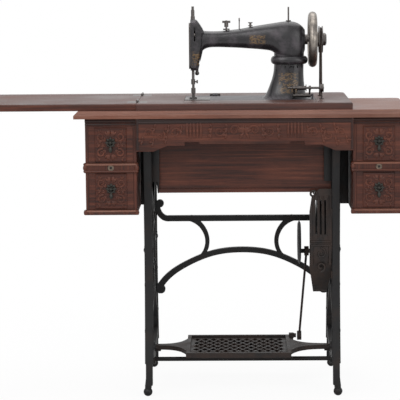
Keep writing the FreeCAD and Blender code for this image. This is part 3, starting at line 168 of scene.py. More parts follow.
def walnut(name, along, tones, lift=0.0, gloss_level=0.28):
    """Stained, varnished walnut: long dark figure, open pores and patches where the stain has faded. A lift
    adds more light patches, which serve as painted highlight; darker tones serve some finishes as painted
    shade.
    """
    s = sizes()
    dark, middle, light = tones
    tree, shader, coords = start_material(name, {"IOR": 1.5, "Specular IOR Level": gloss_level})
    figure_step = [s.grain] * 3
    figure_step[along] = s.grain * FIGURE_STRETCH
    pore_step = [s.pore] * 3
    pore_step[along] = s.pore * PORE_STRETCH
    figure = add_node(tree, "ShaderNodeTexNoise",
                      {"Scale": 1.0, "Detail": 5.0, "Roughness": 0.6, "Distortion": 0.5},
                      {"Vector": scaled(tree, coords, figure_step)})
    pores = add_node(tree, "ShaderNodeTexNoise", {"Scale": 1.0, "Detail": 2.0},
                     {"Vector": scaled(tree, coords, pore_step)})
    fade = add_node(tree, "ShaderNodeTexNoise", {"Scale": 1.0, "Detail": 3.0},
                    {"Vector": scaled(tree, coords, FADE_STEP)})
    body = add_node(tree, "ShaderNodeValToRGB", None, {"Fac": figure.outputs["Fac"]},
                    ((0.30, dark), (0.56, middle), (0.82, light)))
    # Share of light patches: faded stain, which a lift raises into painted highlight.
    patch = add_node(tree, "ShaderNodeMapRange",
                     {"From Min": 0.45, "From Max": 0.8, "To Min": lift, "To Max": 0.42 + lift},
                     {"Value": fade.outputs["Fac"]})
    faded = add_node(tree, "ShaderNodeMix", {"data_type": "RGBA", 7: (*light, 1)},
                     {0: patch.outputs["Result"], 6: body.outputs["Color"]})
    fleck = add_node(tree, "ShaderNodeMapRange",
                     {"From Min": 0.30, "From Max": 0.46, "To Min": 0.45, "To Max": 0.0},
                     {"Value": pores.outputs["Fac"]})
    flecked = add_node(tree, "ShaderNodeMix", {"data_type": "RGBA", 7: (*dark, 1)},
                       {0: fleck.outputs["Result"], 6: faded.outputs[2]})
    gloss = add_node(tree, "ShaderNodeMapRange",
                     {"From Min": 0.3, "From Max": 0.7, "To Min": 0.34, "To Max": 0.52},
                     {"Value": fade.outputs["Fac"]})
    grain = add_node(tree, "ShaderNodeBump", {"Strength": 0.35, "Distance": 0.0006},
                     {"Height": pores.outputs["Fac"]})
    tree.links.new(flecked.outputs[2], shader.inputs["Base Color"])
    tree.links.new(gloss.outputs["Result"], shader.inputs["Roughness"])
    tree.links.new(grain.outputs["Normal"], shader.inputs["Normal"])


def metal(name, base, worn, values, wear=(0.5, 0.75), grit=None, patch=0.03, rough=(0.3, 0.5)):
    """Metal or painted metal: one colour worn to another in patches, with its own fine surface marks."""
    tree, shader, coords = start_material(name, values)
    wide = add_node(tree, "ShaderNodeTexNoise", {"Scale": 1.0, "Detail": 6.0, "Roughness": 0.62},
                    {"Vector": scaled(tree, coords, (patch,) * 3)})
    fine = add_node(tree, "ShaderNodeTexNoise", {"Scale": 1.0, "Detail": 4.0},
                    {"Vector": scaled(tree, coords, (grit or sizes().grit,) * 3)})
    share = add_node(tree, "ShaderNodeMapRange", {"From Min": wear[0], "From Max": wear[1]},
                     {"Value": wide.outputs["Fac"]})
    tone = add_node(tree, "ShaderNodeMix", {"data_type": "RGBA", 6: (*base, 1), 7: (*worn, 1)},
                    {0: share.outputs["Result"]})
    gloss = add_node(tree, "ShaderNodeMapRange",
                     {"From Min": 0.3, "From Max": 0.7, "To Min": rough[0], "To Max": rough[1]},
                     {"Value": wide.outputs["Fac"]})
    marks = add_node(tree, "ShaderNodeBump", {"Strength": 0.3, "Distance": 0.0005},
                     {"Height": fine.outputs["Fac"]})
    tree.links.new(tone.outputs[2], shader.inputs["Base Color"])
    tree.links.new(gloss.outputs["Result"], shader.inputs["Roughness"])
    tree.links.new(marks.outputs["Normal"], shader.inputs["Normal"])
    return tree, shader, coords, tone


def soft_box(tree, split, spans, edge):
    """Share that is one inside a box of (axis, low, high) spans and fades to nothing over an edge."""
    product = None
    for axis, low, high in spans:
        middle, half = (low + high) / 2, (high - low) / 2
        off = add_node(tree, "ShaderNodeMath", {"operation": "SUBTRACT", 1: middle},
                       {0: split.outputs[axis]})
        size = add_node(tree, "ShaderNodeMath", {"operation": "ABSOLUTE"}, {0: off.outputs[0]})
        share = add_node(tree, "ShaderNodeMapRange", {"From Min": half, "From Max": half - edge},
                         {"Value": size.outputs[0]})
        if product is None:
            product = share.outputs["Result"]
        else:
            product = add_node(tree, "ShaderNodeMath", {"operation": "MULTIPLY"},
                               {0: product, 1: share.outputs["Result"]}).outputs[0]
    return product


# Gilt on the arm in metres: spans from its left end and from the bed, the width over which they fade, and the
# spacing of its scrolls and of its worn patches.
GILT_SPOTS = (((0.002, 0.026), (0.088, 0.128)), ((0.158, 0.204), (0.145, 0.172)),
              ((0.236, 0.292), (0.012, 0.070)))
GILT_EDGE = 0.004
GILT_SCROLL = 0.012
GILT_WEAR = 0.006


def gilded_japan(name):
    """Black japan on the machine head: glossy, rubbed grey by hands, with worn gilt scrolls in places."""
    c = colours()
    gloss = {"IOR": 1.5, "Specular IOR Level": 0.4, "Coat Weight": 0.2, "Coat Roughness": 0.2}
    tree, shader, coords, tone = metal(name, c.japan, c.japan_worn, gloss, wear=(0.48, 0.72), grit=0.004,
                                       patch=0.035, rough=(0.26, 0.46))
    split = add_node(tree, "ShaderNodeSeparateXYZ", None, {"Vector": coords})
    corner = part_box("machine_arm")[0]
    total = None
    for across, upward in GILT_SPOTS:
        spans = ((0, *(corner.x + step for step in across)), (2, *(corner.z + step for step in upward)))
        share = soft_box(tree, split, spans, GILT_EDGE)
        total = share if total is None else add_node(tree, "ShaderNodeMath", {"operation": "ADD"},
                                                     {0: total, 1: share}).outputs[0]
    # Scroll lines about 3 mm apart, wider than the real gilding so that they show.
    scroll = add_node(tree, "ShaderNodeTexWave",
                      {"wave_type": "RINGS", "rings_direction": "Y", "Scale": 1.0, "Distortion": 9.0,
                       "Detail": 2.0, "Detail Scale": 0.5},
                      {"Vector": scaled(tree, coords, (GILT_SCROLL,) * 3)})
    line = add_node(tree, "ShaderNodeMapRange", {"From Min": 0.42, "From Max": 0.62},
                    {"Value": scroll.outputs["Fac"]})
    worn = add_node(tree, "ShaderNodeTexNoise", {"Scale": 1.0, "Detail": 3.0},
                    {"Vector": scaled(tree, coords, (GILT_WEAR,) * 3)})
    kept = add_node(tree, "ShaderNodeMapRange", {"From Min": 0.40, "From Max": 0.55},
                    {"Value": worn.outputs["Fac"]})
    mask = add_node(tree, "ShaderNodeMath", {"operation": "MULTIPLY"},
                    {0: line.outputs["Result"], 1: kept.outputs["Result"]})
    mask = add_node(tree, "ShaderNodeMath", {"operation": "MULTIPLY"}, {0: mask.outputs[0], 1: total})
    gilt = add_node(tree, "ShaderNodeMix", {"data_type": "RGBA", 7: (*c.gilt, 1)},
                    {0: mask.outputs[0], 6: tone.outputs[2]})
    tree.links.new(gilt.outputs[2], shader.inputs["Base Color"])


def wheel_nickel(name):
    """Dulled nickel of the handwheel, with a darker steel belt pulley at its right end."""
    c = colours()
    tree, shader, coords, tone = metal(name, c.nickel, c.steel, {"Metallic": 1.0}, wear=(0.45, 0.7),
                                       grit=0.0016, patch=0.02, rough=(0.30, 0.46))
    split = add_node(tree, "ShaderNodeSeparateXYZ", None, {"Vector": coords})
    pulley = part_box("handwheel")[1].x - sizes().pulley_w
    share = add_node(tree, "ShaderNodeMapRange", {"From Min": pulley - MM, "From Max": pulley},
                     {"Value": split.outputs["X"]})
    both = add_node(tree, "ShaderNodeMix", {"data_type": "RGBA", 7: (*c.steel, 1)},
                    {0: share.outputs["Result"], 6: tone.outputs[2]})
    tree.links.new(both.outputs[2], shader.inputs["Base Color"])


SLOT_FINISH = {"walnut": "walnut_lengthwise", "iron": "black_cast_iron", "japan": "japanned_iron",
               "steel": "dulled_steel", "nickel": "wheel_nickel", "brass": "old_brass",
               "leather": "belt_leather", "dark_bronze": "aged_bronze"}
NODE_FINISH = {"table_board": "walnut_faded_highlit", "top_panel": "walnut_polished", "front_flap": "walnut_polished",
               "drawer_case_left": "walnut_upright", "drawer_case_right": "walnut_upright",
               "shaft_bushings": "dulled_steel", "clutch_knob": "dulled_steel", "handwheel": "wheel_nickel",
               "stitch_regulator": "japanned_iron", "machine_bed": "worn_japan", "treadle": "rusty_cast_iron",
               "dress_guard": "rusty_cast_iron", "pitman": "rusty_cast_iron"}


class SEWING_OT_finishes(bpy.types.Operator):
    """Make the finishes and put them on the plain pieces"""
    bl_idname = "sewing.finishes"
    bl_label = "Finishes"

    def execute(self, context):
        c = colours()
        plain = (c.walnut_dark, c.walnut_mid, c.walnut_light)
        walnut("walnut_lengthwise", 0, plain)
        walnut("walnut_upright", 2, plain)
        # Raised carving and mouldings lifted lighter: painted highlight.
        walnut("walnut_highlit_relief", 0, plain, lift=0.16)
        # Darker carving ground: painted shade in the recess.
        walnut("walnut_recess_shade", 0, (c.walnut_dark, c.walnut_mid, c.walnut_mid))
        # Nearly black: painted shadow under the table board, on the apron's beads and the cases' cornices.
        walnut("walnut_painted_shadow", 0, (c.walnut_dark, c.walnut_dark, c.walnut_mid))
        # Faded top of the table board; on the cases' top beads a painted highlight.
        walnut("walnut_faded_highlit", 0, (c.walnut_mid, c.walnut_light, c.walnut_worn_highlight), lift=0.2)
        walnut("walnut_polished", 0, (c.walnut_dark, c.walnut_mid, c.walnut_mid), gloss_level=0.45)
        paint = {"IOR": 1.5, "Specular IOR Level": 0.3}
        metal("black_cast_iron", c.iron, c.rust, paint, wear=(0.5, 0.85), patch=0.05, rough=(0.42, 0.66))
        metal("rusty_cast_iron", c.iron, c.rust, paint, wear=(0.3, 0.6), patch=0.04, rough=(0.46, 0.7))
        gilded_japan("japanned_iron")
        metal("worn_japan", c.japan, c.japan_worn, {"IOR": 1.5, "Specular IOR Level": 0.45},
              wear=(0.35, 0.65), grit=0.004, rough=(0.36, 0.54))
        wheel_nickel("wheel_nickel")
        metal("dulled_steel", c.steel, c.rust, {"Metallic": 1.0}, wear=(0.55, 0.85), grit=0.0012, patch=0.012,
              rough=(0.28, 0.48))
        metal("old_brass", c.brass, c.bronze, {"Metallic": 1.0}, grit=0.0012, patch=0.008, rough=(0.32, 0.5))
        metal("aged_bronze", c.bronze, c.steel, {"Metallic": 0.4}, wear=(0.58, 0.9), grit=0.0012, patch=0.008,
              rough=(0.42, 0.6))
        metal("belt_leather", c.leather, c.walnut_dark, {"IOR": 1.45}, grit=0.0016, patch=0.018,
              rough=(0.5, 0.7))
        for part in frame["record"]["subparts"]:
            finish = NODE_FINISH.get(part["node"], SLOT_FINISH[part["material_slot"]])
            data = frame["nodes"][part["node"]].data
            data.materials.clear()
            data.materials.append(bpy.data.materials[finish])
        return {"FINISHED"}


# Modelling helpers

# Edges that turn less than this are shaded smooth.
SMOOTH_ANGLE = math.radians(42)


def only(item):
    """Select one object and make it the active one."""
    bpy.ops.object.select_all(action="DESELECT")
    item.select_set(True)
    bpy.context.view_layer.objects.active = item


def settle(item, name, body, finish, stands_for=()):
    """Name a finished piece, put its place into its mesh, and let it ride on its body."""
    only(item)
    bpy.ops.object.transform_apply(location=True, rotation=True, scale=True)
    bpy.ops.object.shade_smooth_by_angle(angle=SMOOTH_ANGLE)
    item.name = name
    item.data.name = name
    item.data.materials.clear()
    item.data.materials.append(bpy.data.materials[finish])
    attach(item, body)
    if stands_for:
        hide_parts(*stands_for)


def from_table(x, y, z):
    """Row-frame metres of a point measured in millimetres from the middle of the table."""
    return Vector(((x + CENTRE) * MM, y * MM, z * MM))


def strokes(lines, flat=None, ring=2):
    """Rounded strokes through (points, radii) in table millimetres, pressed by flat: (axis, plane, share)."""
    bpy.ops.object.select_all(action="DESELECT")
    bpy.ops.curve.primitive_nurbs_path_add()
    item = bpy.context.object
    drawing = item.data
    drawing.splines.clear()
    drawing.dimensions = "3D"
    drawing.bevel_depth = MM
    drawing.bevel_resolution = ring
    drawing.use_fill_caps = True
    for points, radii in lines:
        spline = drawing.splines.new("NURBS")
        spline.points.add(len(points) - 1)
        for knot, point, radius in zip(spline.points, points, radii):
            knot.co = (*from_table(*point), 1)
            knot.radius = radius
        spline.order_u = min(3, len(points))
        spline.use_endpoint_u = True
        spline.resolution_u = 3
    only(item)
    bpy.ops.object.convert(target="MESH")
    item = bpy.context.object
    if flat:
        axis, plane, share = flat
        scale = [1, 1, 1]
        centre = [0, 0, 0]
        scale[axis] = share
        centre[axis] = plane * MM
        bpy.ops.object.mode_set(mode="EDIT")
        bpy.ops.mesh.select_all(action="SELECT")
        bpy.ops.transform.resize(value=scale, center_override=centre)
        bpy.ops.object.mode_set(mode="OBJECT")
    return item


def lathe(profile, at, axis, steps=24):
    """Turned piece: a profile of (radius, distance) in millimetres spun about an axis from a point."""
    bpy.ops.object.select_all(action="DESELECT")
    start = from_table(*at)
    along = Vector(axis)
    side = along.orthogonal().normalized()
    bpy.ops.mesh.primitive_plane_add(size=MM, location=(0, 0, 0))
    item = bpy.context.object
    points = [start + side * (max(radius, 0.001) * MM) + along * (far * MM) for radius, far in profile]
    item.data.clear_geometry()
    item.data.from_pydata(points, [(n, n + 1) for n in range(len(points) - 1)], [])
    bpy.ops.object.mode_set(mode="EDIT")
    bpy.ops.mesh.select_all(action="SELECT")
    bpy.ops.mesh.spin(steps=steps, angle=2 * math.pi, center=start, axis=along)
    bpy.ops.mesh.select_all(action="SELECT")
    bpy.ops.mesh.remove_doubles(threshold=MM * 0.005)
    bpy.ops.mesh.normals_make_consistent(inside=False)
    bpy.ops.object.mode_set(mode="OBJECT")
    return item


def slab(low, high, soft=0.0):
    """Block between two corners in table millimetres, its edges softened."""
    bpy.ops.object.select_all(action="DESELECT")
    middle = from_table(*((a + b) / 2 for a, b in zip(low, high)))
    sides = [(b - a) * MM for a, b in zip(low, high)]
    bpy.ops.mesh.primitive_cube_add(size=1, location=middle, scale=sides)
    item = bpy.context.object
    bpy.ops.object.transform_apply(location=True, rotation=True, scale=True)
    if soft:
        bpy.ops.object.mode_set(mode="EDIT")
        bpy.ops.mesh.select_all(action="SELECT")
        bpy.ops.mesh.bevel(offset=soft * MM, segments=2, affect="EDGES")
        bpy.ops.object.mode_set(mode="OBJECT")
    return item


def together(items):
    """Join several meshes into one object."""
    bpy.ops.object.select_all(action="DESELECT")
    for item in items:
        item.select_set(True)
    bpy.context.view_layer.objects.active = items[0]
    bpy.ops.object.join()
    return bpy.context.object


def curl(u, v, wide, tight, start, turn, thick, thin, knots=13):
    """Spiral in a drawing plane, from its wide end to its eye: points and stroke radii."""
    points, radii = [], []
    for n in range(knots):
        share = n / (knots - 1)
        reach = wide + (tight - wide) * share ** 0.85
        angle = math.radians(start + turn * share)
        points.append((u + reach * math.cos(angle), v + reach * math.sin(angle)))
        radii.append(thick + (thin - thick) * share)
    radii[-1] = thick * 1.2
    return points, radii


def lobe(u, v, heading, length, width, bend=0.0):
    """Leaf lobe in a drawing plane: narrow at its root, full in the middle and pointed."""
    points, radii = [], []
    for share, full in ((0.0, 0.35), (0.3, 0.9), (0.6, 1.0), (0.85, 0.55), (1.0, 0.12)):
        angle = math.radians(heading + bend * share)
        points.append((u + length * share * math.cos(angle), v + length * share * math.sin(angle)))
        radii.append(width * full / 2)
    return points, radii


def mirrored(lines):
    """Drawn lines with their mirror images across the middle."""
    return lines + [([(-u, v) for u, v in points], radii) for points, radii in lines]


def on_front(lines, x, y, z):
    """Lift drawn lines onto an upright face that looks to the front."""
    return [([(x + u, y, z + v) for u, v in points], radii) for points, radii in lines]


def on_side(lines, x, y, z):
    """Lift drawn lines onto an upright face that looks to the side."""
    return [([(x, y + u, z + v) for u, v in points], radii) for points, radii in lines]


# Carving

# Raised field of a drawer front: half its width, and how far it stops short of the drawer's edges.
FIELD_HALF = 42
FIELD_TRIM = 2.4


def drawer_scroll():
    """A drawer's leaf carving about the middle of the field, drawn on its right half and mirrored."""
    lines = [curl(24, -21, 13, 3, 110, -430, 3.2, 1.8), curl(25, 22, 12, 3, 250, 420, 3.0, 1.7)]
    lines += [lobe(27, 1, angle, 12, 6.5, bend) for angle, bend in ((75, 25), (25, -20), (-25, -25))]
    lines += [lobe(30, 32, angle, 10, 5.5, bend) for angle, bend in ((60, 20), (110, 25))]
    lines += [lobe(28, -35, angle, 10, 5.5, bend) for angle, bend in ((0, 30), (-45, -25))]
    lines += [lobe(4, -25, angle, 16, 7, bend) for angle, bend in ((-15, -30), (-52, -25), (-86, 0))]
    lines += [lobe(3, 24, angle, 17, 7, bend) for angle, bend in ((18, 30), (52, 25), (86, 0))]
    lines += [lobe(14, -2, angle, 12, 6, 20) for angle in (-25, 20)]
    lines += [lobe(12, 11, angle, 11, 5.5, 20) for angle in (5, 50)]
    lines += [lobe(12, -13, angle, 11, 5.5, -20) for angle in (-5, -50)]
    return mirrored(lines)


class SEWING_OT_drawer_carving(bpy.types.Operator):
    """Carve leaf scrolls on a punched ground on the four drawer fronts, the ground painted in shade and the
    scrolls with highlight
    """
    bl_idname = "sewing.drawer_carving"
    bl_label = "Drawer carving"

    def execute(self, context):
        thick, edge = sizes().ground_t / MM, sizes().ground_edge / MM
        for level in ("upper", "lower"):
            for side in ("left", "right"):
                name = f"drawer_{level}_{side}"
                low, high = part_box(name)
                x = (low.x + high.x) / 2 / MM - CENTRE
                z = (low.z + high.z) / 2 / MM
                front = low.y / MM
                half, tall = FIELD_HALF - edge, (high.z - low.z) / 2 / MM - FIELD_TRIM - edge
                ground = slab((x - half, front - thick, z - tall), (x + half, front + thick, z + tall))
                # The ground's darker finish is painted shade in the recess.
                settle(ground, f"carving_ground_{level}_{side}", name, "walnut_recess_shade")
                item = strokes(on_front(drawer_scroll(), x, front - thick, z),
                               flat=(1, front - thick, sizes().relief))
                # Scrolls lighter as painted highlight.
                settle(item, f"carving_{level}_{side}", name, "walnut_highlit_relief")
        return {"FINISHED"}


def apron_side():
    """Leaf scroll of one end of the apron, from its inner to its outer edge."""
    lines = [curl(22, -4, 16, 3, 180, -420, 3.2, 1.8), curl(62, -12, 15, 3, 120, 400, 3.2, 1.8),
             curl(94, -4, 14, 2.5, 200, -380, 3.0, 1.7)]
    for u, v in ((6, 4), (40, 6), (46, -22), (76, 8), (80, -28), (108, -24)):
        lines += [lobe(u, v, angle, 14, 7, bend) for angle, bend in ((75, 25), (20, -25), (-50, -20))]
    return lines


def apron_middle():
    """Leaf scroll in the middle of the apron, drawn on its right half and mirrored."""
    lines = [curl(26, 0, 16, 3, 170, -420, 3.2, 1.8), curl(66, -2, 15, 3, 190, 400, 3.2, 1.8)]
    lines += [lobe(2, -6, angle, 20, 8, bend) for angle, bend in ((85, 0), (45, 25), (15, 20), (-40, -20))]
    for u, v in ((44, 6), (46, -10), (84, 6), (86, -10)):
        lines += [lobe(u, v, angle, 14, 7, bend) for angle, bend in ((50, 25), (-5, -25), (-50, -20))]
    return mirrored(lines)


# Apron carving: its drops below the apron's top, the inner end of the side scrolls, and the reeds between:
# first place, pitch, number, heights below the top and radii.
APRON = {"middle_drop": 32, "side_drop": 34, "side_x": 158, "reed_x": 114, "reed_step": 9, "reeds": 5,
         "reed_drops": (12, 20, 44, 52), "reed_radii": (1.5, 3.6, 3.6, 1.5)}
# Beads along the apron's top and down its ends, painted dark as the shadow under the table board: radius, and
# depths below the top.
SHADOW_BEAD_R = 4
SHADOW_BEAD_DROPS = (4, 10)


class SEWING_OT_apron_carving(bpy.types.Operator):
    """Carve the front apron: leaf scrolls between reeded blocks, framed by beads painted dark as shadow"""
    bl_idname = "sewing.apron_carving"
    bl_label = "Apron carving"

    def execute(self, context):
        low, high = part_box("front_apron")
        front, top = low.y / MM, high.z / MM
        lines = on_front(apron_middle(), 0, front, top - APRON["middle_drop"])
        for sign in (-1, 1):
            side = [([(sign * u, v) for u, v in points], radii) for points, radii in apron_side()]
            lines += on_front(side, sign * APRON["side_x"], front, top - APRON["side_drop"])
            for n in range(APRON["reeds"]):
                x = sign * (APRON["reed_x"] + APRON["reed_step"] * n)
                lines.append(([(x, front, top - drop) for drop in APRON["reed_drops"]], APRON["reed_radii"]))
        item = strokes(lines, flat=(1, front, sizes().relief))
        # Apron carving lighter as painted highlight.
        settle(item, "apron_carving", "stand", "walnut_highlit_relief")
        # Beads painted dark as the shadow under the board and at the apron's ends.
        ends = (low.x / MM - CENTRE + SHADOW_BEAD_R, high.x / MM - CENTRE - SHADOW_BEAD_R)
        sunk, round_bead = front + SHADOW_BEAD_R / 2, (SHADOW_BEAD_R, SHADOW_BEAD_R)
        shadow_beads = [([(x, sunk, top - drop) for x in ends], round_bead) for drop in SHADOW_BEAD_DROPS]
        shadow_beads += [([(x, sunk, top), (x, sunk, low.z / MM + SHADOW_BEAD_R)], round_bead) for x in ends]
        settle(strokes(shadow_beads), "apron_shadow_bead", "stand", "walnut_painted_shadow")
        return {"FINISHED"}


# Drawer-case trim. Beads and cornices are (set-back, height, radius) from the rail, the base or the top;
# knops are turned profiles of (radius, height). The cornices are painted dark as the shadow under the table
# board.
RAIL_TOP = ((0, 9, 3),)
RAIL_FOOT = ((0, -9, 3),)
BASE_BEAD = ((0.5, 10.5, 2.8),)
CORNICE = ((4, -5, 5), (5, -15, 2.4))
BEAD_INSET = 3
RAIL_KNOP = ((0, -14), (3, -13), (5.4, -10), (4.2, -7), (5.2, -5), (6.2, 0), (5.2, 5), (4.2, 7), (5.4, 10),
             (3, 13), (0, 14))
BASE_KNOP = ((0, -7), (4.6, -6), (6, 0), (4.6, 6), (0, 7))
KNOP = {"inset": 2.5, "back": 2, "base_rise": 7}
KEYHOLE = ((0, 0.4), (3.2, 0.4), (3.6, -0.4))


class SEWING_OT_case_mouldings(bpy.types.Operator):
    """Lay beads and turned corner knops along the rails of the drawer cases"""
    bl_idname = "sewing.case_mouldings"
    bl_label = "Case mouldings"

    def execute(self, context):
        keyhole_low, keyhole_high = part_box("keyhole_plates")
        rail = (keyhole_low.z + keyhole_high.z) / 2 / MM
        for side in ("left", "right"):
            low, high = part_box(f"drawer_case_{side}")
            left, right = low.x / MM - CENTRE, high.x / MM - CENTRE
            front, base, top = low.y / MM, low.z / MM, high.z / MM

            def beads(rows, level):
                """Straight beads across the case, at heights measured from a level."""
                return [([(x, front + back, level + z) for x in (left + BEAD_INSET, right - BEAD_INSET)],
                         (radius, radius)) for back, z, radius in rows]

            # Top bead of the rail and the base bead, lighter as wear and as painted highlight on their upper
            # edges.
            worn = beads(RAIL_TOP, rail) + beads(BASE_BEAD, base)
            settle(strokes(worn), f"case_bead_{side}", "stand", "walnut_faded_highlit")
            # Beads under the case top, painted dark as the shadow under the table board.
            settle(strokes(beads(CORNICE, top)), f"case_shadow_cornice_{side}", "stand", "walnut_painted_shadow")
            pieces = [strokes(beads(RAIL_FOOT, rail))]
            for x in (left + KNOP["inset"], right - KNOP["inset"]):
                for profile, z in ((RAIL_KNOP, rail), (BASE_KNOP, base + KNOP["base_rise"])):
                    pieces.append(lathe(profile, (x, front + KNOP["back"], z), (0, 0, 1), 16))
            # Lower bead and knops in the lighter relief finish, a painted highlight.
            settle(together(pieces), f"case_moulding_{side}", "stand", "walnut_highlit_relief")
            key = lathe(KEYHOLE, ((left + right) / 2, keyhole_low.y / MM, rail), (0, -1, 0))
            settle(key, f"keyhole_{side}", "stand", "black_cast_iron")
        return {"FINISHED"}


# Drawer pulls: petals of the back plate, and the profile of the drop under the ring as (radius, height).
PETAL = {"count": 8, "root": 5, "length": 9.5, "width": 7.5, "lift": 2.4, "press": 0.6}
DROP = ((0, -16), (2.6, -14.5), (4.8, -10.5), (5.2, -7), (3.6, -3), (2.2, 0), (2.9, 2.6), (1.6, 4))


class SEWING_OT_pulls(bpy.types.Operator):
    """Dress the drawer pulls with petals and a drop"""
    bl_idname = "sewing.pulls"
    bl_label = "Drawer pulls"

    def execute(self, context):
        for level in ("upper", "lower"):
            for side in ("left", "right"):
                low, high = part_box(f"pull_plate_{level}_{side}")
                x = (low.x + high.x) / 2 / MM - CENTRE
                z = (low.z + high.z) / 2 / MM
                face = high.y / MM - PETAL["lift"]
                petals = []
                for n in range(PETAL["count"]):
                    angle = 360 / PETAL["count"] * n
                    root = [PETAL["root"] * turn(math.radians(angle)) for turn in (math.cos, math.sin)]
                    petals.append(lobe(*root, angle, PETAL["length"], PETAL["width"]))
                flower = strokes(on_front(petals, x, face, z), flat=(1, face, PETAL["press"]))
                settle(flower, f"pull_petals_{level}_{side}", f"drawer_{level}_{side}", "aged_bronze")
                ring_low, ring_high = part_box(f"pull_ring_{level}_{side}")
                middle = (ring_low.y + ring_high.y) / 2 / MM
                bottom = ring_low.z / MM
                drop = lathe(DROP, (x, middle, bottom), (0, 0, 1), 16)
                settle(drop, f"pull_drop_{level}_{side}", f"ring_{level}_{side}", "aged_bronze")
        return {"FINISHED"}


# Drive belt

# Radius of the round leather as a share of half the plain band's width.
BELT_SHARE = 0.8


class SEWING_OT_belt(bpy.types.Operator):
    """Lay the round leather belt round its two wheels"""
    bl_idname = "sewing.belt"
    bl_label = "Drive belt"

    def execute(self, context):
        low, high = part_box("drive_belt")
        thick = (high.x - low.x) / 2 * BELT_SHARE
        x = (high.x + low.x) / 2
        wheel_low, wheel_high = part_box("handwheel")
        fly_low, fly_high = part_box("flywheel")
        top, foot = (wheel_low.z + wheel_high.z) / 2, (fly_low.z + fly_high.z) / 2
        small, large = high.z - thick - top, foot - low.z - thick
        lean = math.asin((large - small) / (top - foot))
        bpy.ops.object.select_all(action="DESELECT")
        start = (x, small * math.cos(lean), top + small * math.sin(lean))
        bpy.ops.mesh.primitive_circle_add(vertices=12, radius=thick, location=start, rotation=(-lean, 0, 0))
        item = bpy.context.object
        bpy.ops.object.transform_apply(location=True, rotation=True, scale=True)
        bpy.ops.object.mode_set(mode="EDIT")
        bpy.ops.mesh.select_all(action="SELECT")
        span = math.sqrt((top - foot) ** 2 - (large - small) ** 2)
        down = Vector((0, math.sin(lean), -math.cos(lean))) * span
        bpy.ops.mesh.extrude_region_move(TRANSFORM_OT_translate={"value": down})
        bpy.ops.mesh.spin(steps=40, angle=math.pi + 2 * lean, center=(x, 0, foot), axis=(1, 0, 0))
        up = Vector((0, math.sin(lean), math.cos(lean))) * span
        bpy.ops.mesh.extrude_region_move(TRANSFORM_OT_translate={"value": up})
        bpy.ops.mesh.spin(steps=24, angle=math.pi - 2 * lean, center=(x, 0, top), axis=(1, 0, 0))
        bpy.ops.mesh.select_all(action="SELECT")
        bpy.ops.mesh.remove_doubles(threshold=MM * 0.05)
        bpy.ops.mesh.normals_make_consistent(inside=False)
        bpy.ops.object.mode_set(mode="OBJECT")
        settle(item, "leather_belt", "stand", "belt_leather", ("drive_belt",))
        return {"FINISHED"}


# Stand

# Course of a leg from its foot up, as shares of the frame's half depth and of the height above its lowest
# knot; then those sizes and the ones of its bead and leaves, in millimetres.
LEG_LINE = ((1.0, 0.0), (0.96, 0.085), (0.87, 0.19), (0.77, 0.36), (0.74, 0.50), (0.78, 0.69), (0.88, 0.87),
            (0.92, 1.0))
LEG = {"half": 182, "low": 24, "bead": 2.6, "leaf_length": 24, "leaf_width": 6, "leaf_bend": 20,
       "leaf_angles": (-35, 0, 35)}
# Rosettes on the leg frames: places (depth, height) and their turned profile.
ROSETTES = ((0, 94), (0, 335), (0, 465), (-131, 388), (131, 388))
ROSETTE = ((0, 5), (4, 4.4), (6, 2.5), (9, 3), (11, 1.5), (12, -1))
# Ankles of the legs in millimetres: radius of the ball foot, heights of three knots, step inward and radii.
ANKLE = {"ball_r": 12, "low": 17, "middle": 32, "high": 66, "inward": 5, "radii": (8.4, 10.2, 7.0)}


class SEWING_OT_stand_relief(bpy.types.Operator):
    """Run cast beads and leaves along the legs, set rosettes on them and join them to their feet"""
    bl_idname = "sewing.stand_relief"
    bl_label = "Stand relief"

    def execute(self, context):
        for side in ("left", "right"):
            low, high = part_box(f"leg_frame_{side}")
            faces = (low.x / MM - CENTRE, high.x / MM - CENTRE)
            rise = high.z / MM - LEG["low"]
            lines, pieces = [], []
            for x in faces:
                for sign in (-1, 1):
                    course = [(sign * u * LEG["half"], LEG["low"] + v * rise) for u, v in LEG_LINE]
                    drawn = [(course[1:], [LEG["bead"]] * (len(course) - 1))]
                    for y, z in course[2:7]:
                        drawn += [lobe(y, z, 90 + sign * spread, LEG["leaf_length"], LEG["leaf_width"],
                                       sign * LEG["leaf_bend"]) for spread in LEG["leaf_angles"]]
                    lines += on_side(drawn, x, 0, 0)
            # Ankles, which carry the legs over to their ball feet.
            feet = [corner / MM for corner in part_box("ball_feet")]
            foot_x = (feet[0].x + ANKLE["ball_r"] if side == "left" else feet[1].x - ANKLE["ball_r"]) - CENTRE
            leg_x = (faces[0] + faces[1]) / 2
            for y, sign in ((feet[0].y + ANKLE["ball_r"], -1), (feet[1].y - ANKLE["ball_r"], 1)):
                ankle = [(foot_x, y, ANKLE["low"]), ((foot_x + leg_x) / 2, y, ANKLE["middle"]),
                         (leg_x, y - sign * ANKLE["inward"], ANKLE["high"])]
                lines.append((ankle, ANKLE["radii"]))
            pieces.append(strokes(lines))
            for x, out in zip(faces, (-1, 1)):
                pieces += [lathe(ROSETTE, (x, y, z), (out, 0, 0), 20) for y, z in ROSETTES]
            settle(together(pieces), f"leg_relief_{side}", "stand", "black_cast_iron")
        return {"FINISHED"}


# Corner brackets of the stand, in table millimetres; the hangers join the legs to the drawer cases. The
# plates are partly painted shade: dark iron set in the deep shade beside the dust box and between the legs
# and the cases.
BRACKET = {"wide": 22, "thick": 8, "drop": 30, "clear": 0.5, "point": 4, "soft": 1.5, "hanger_y": -60,
           "hanger_drop": 40}


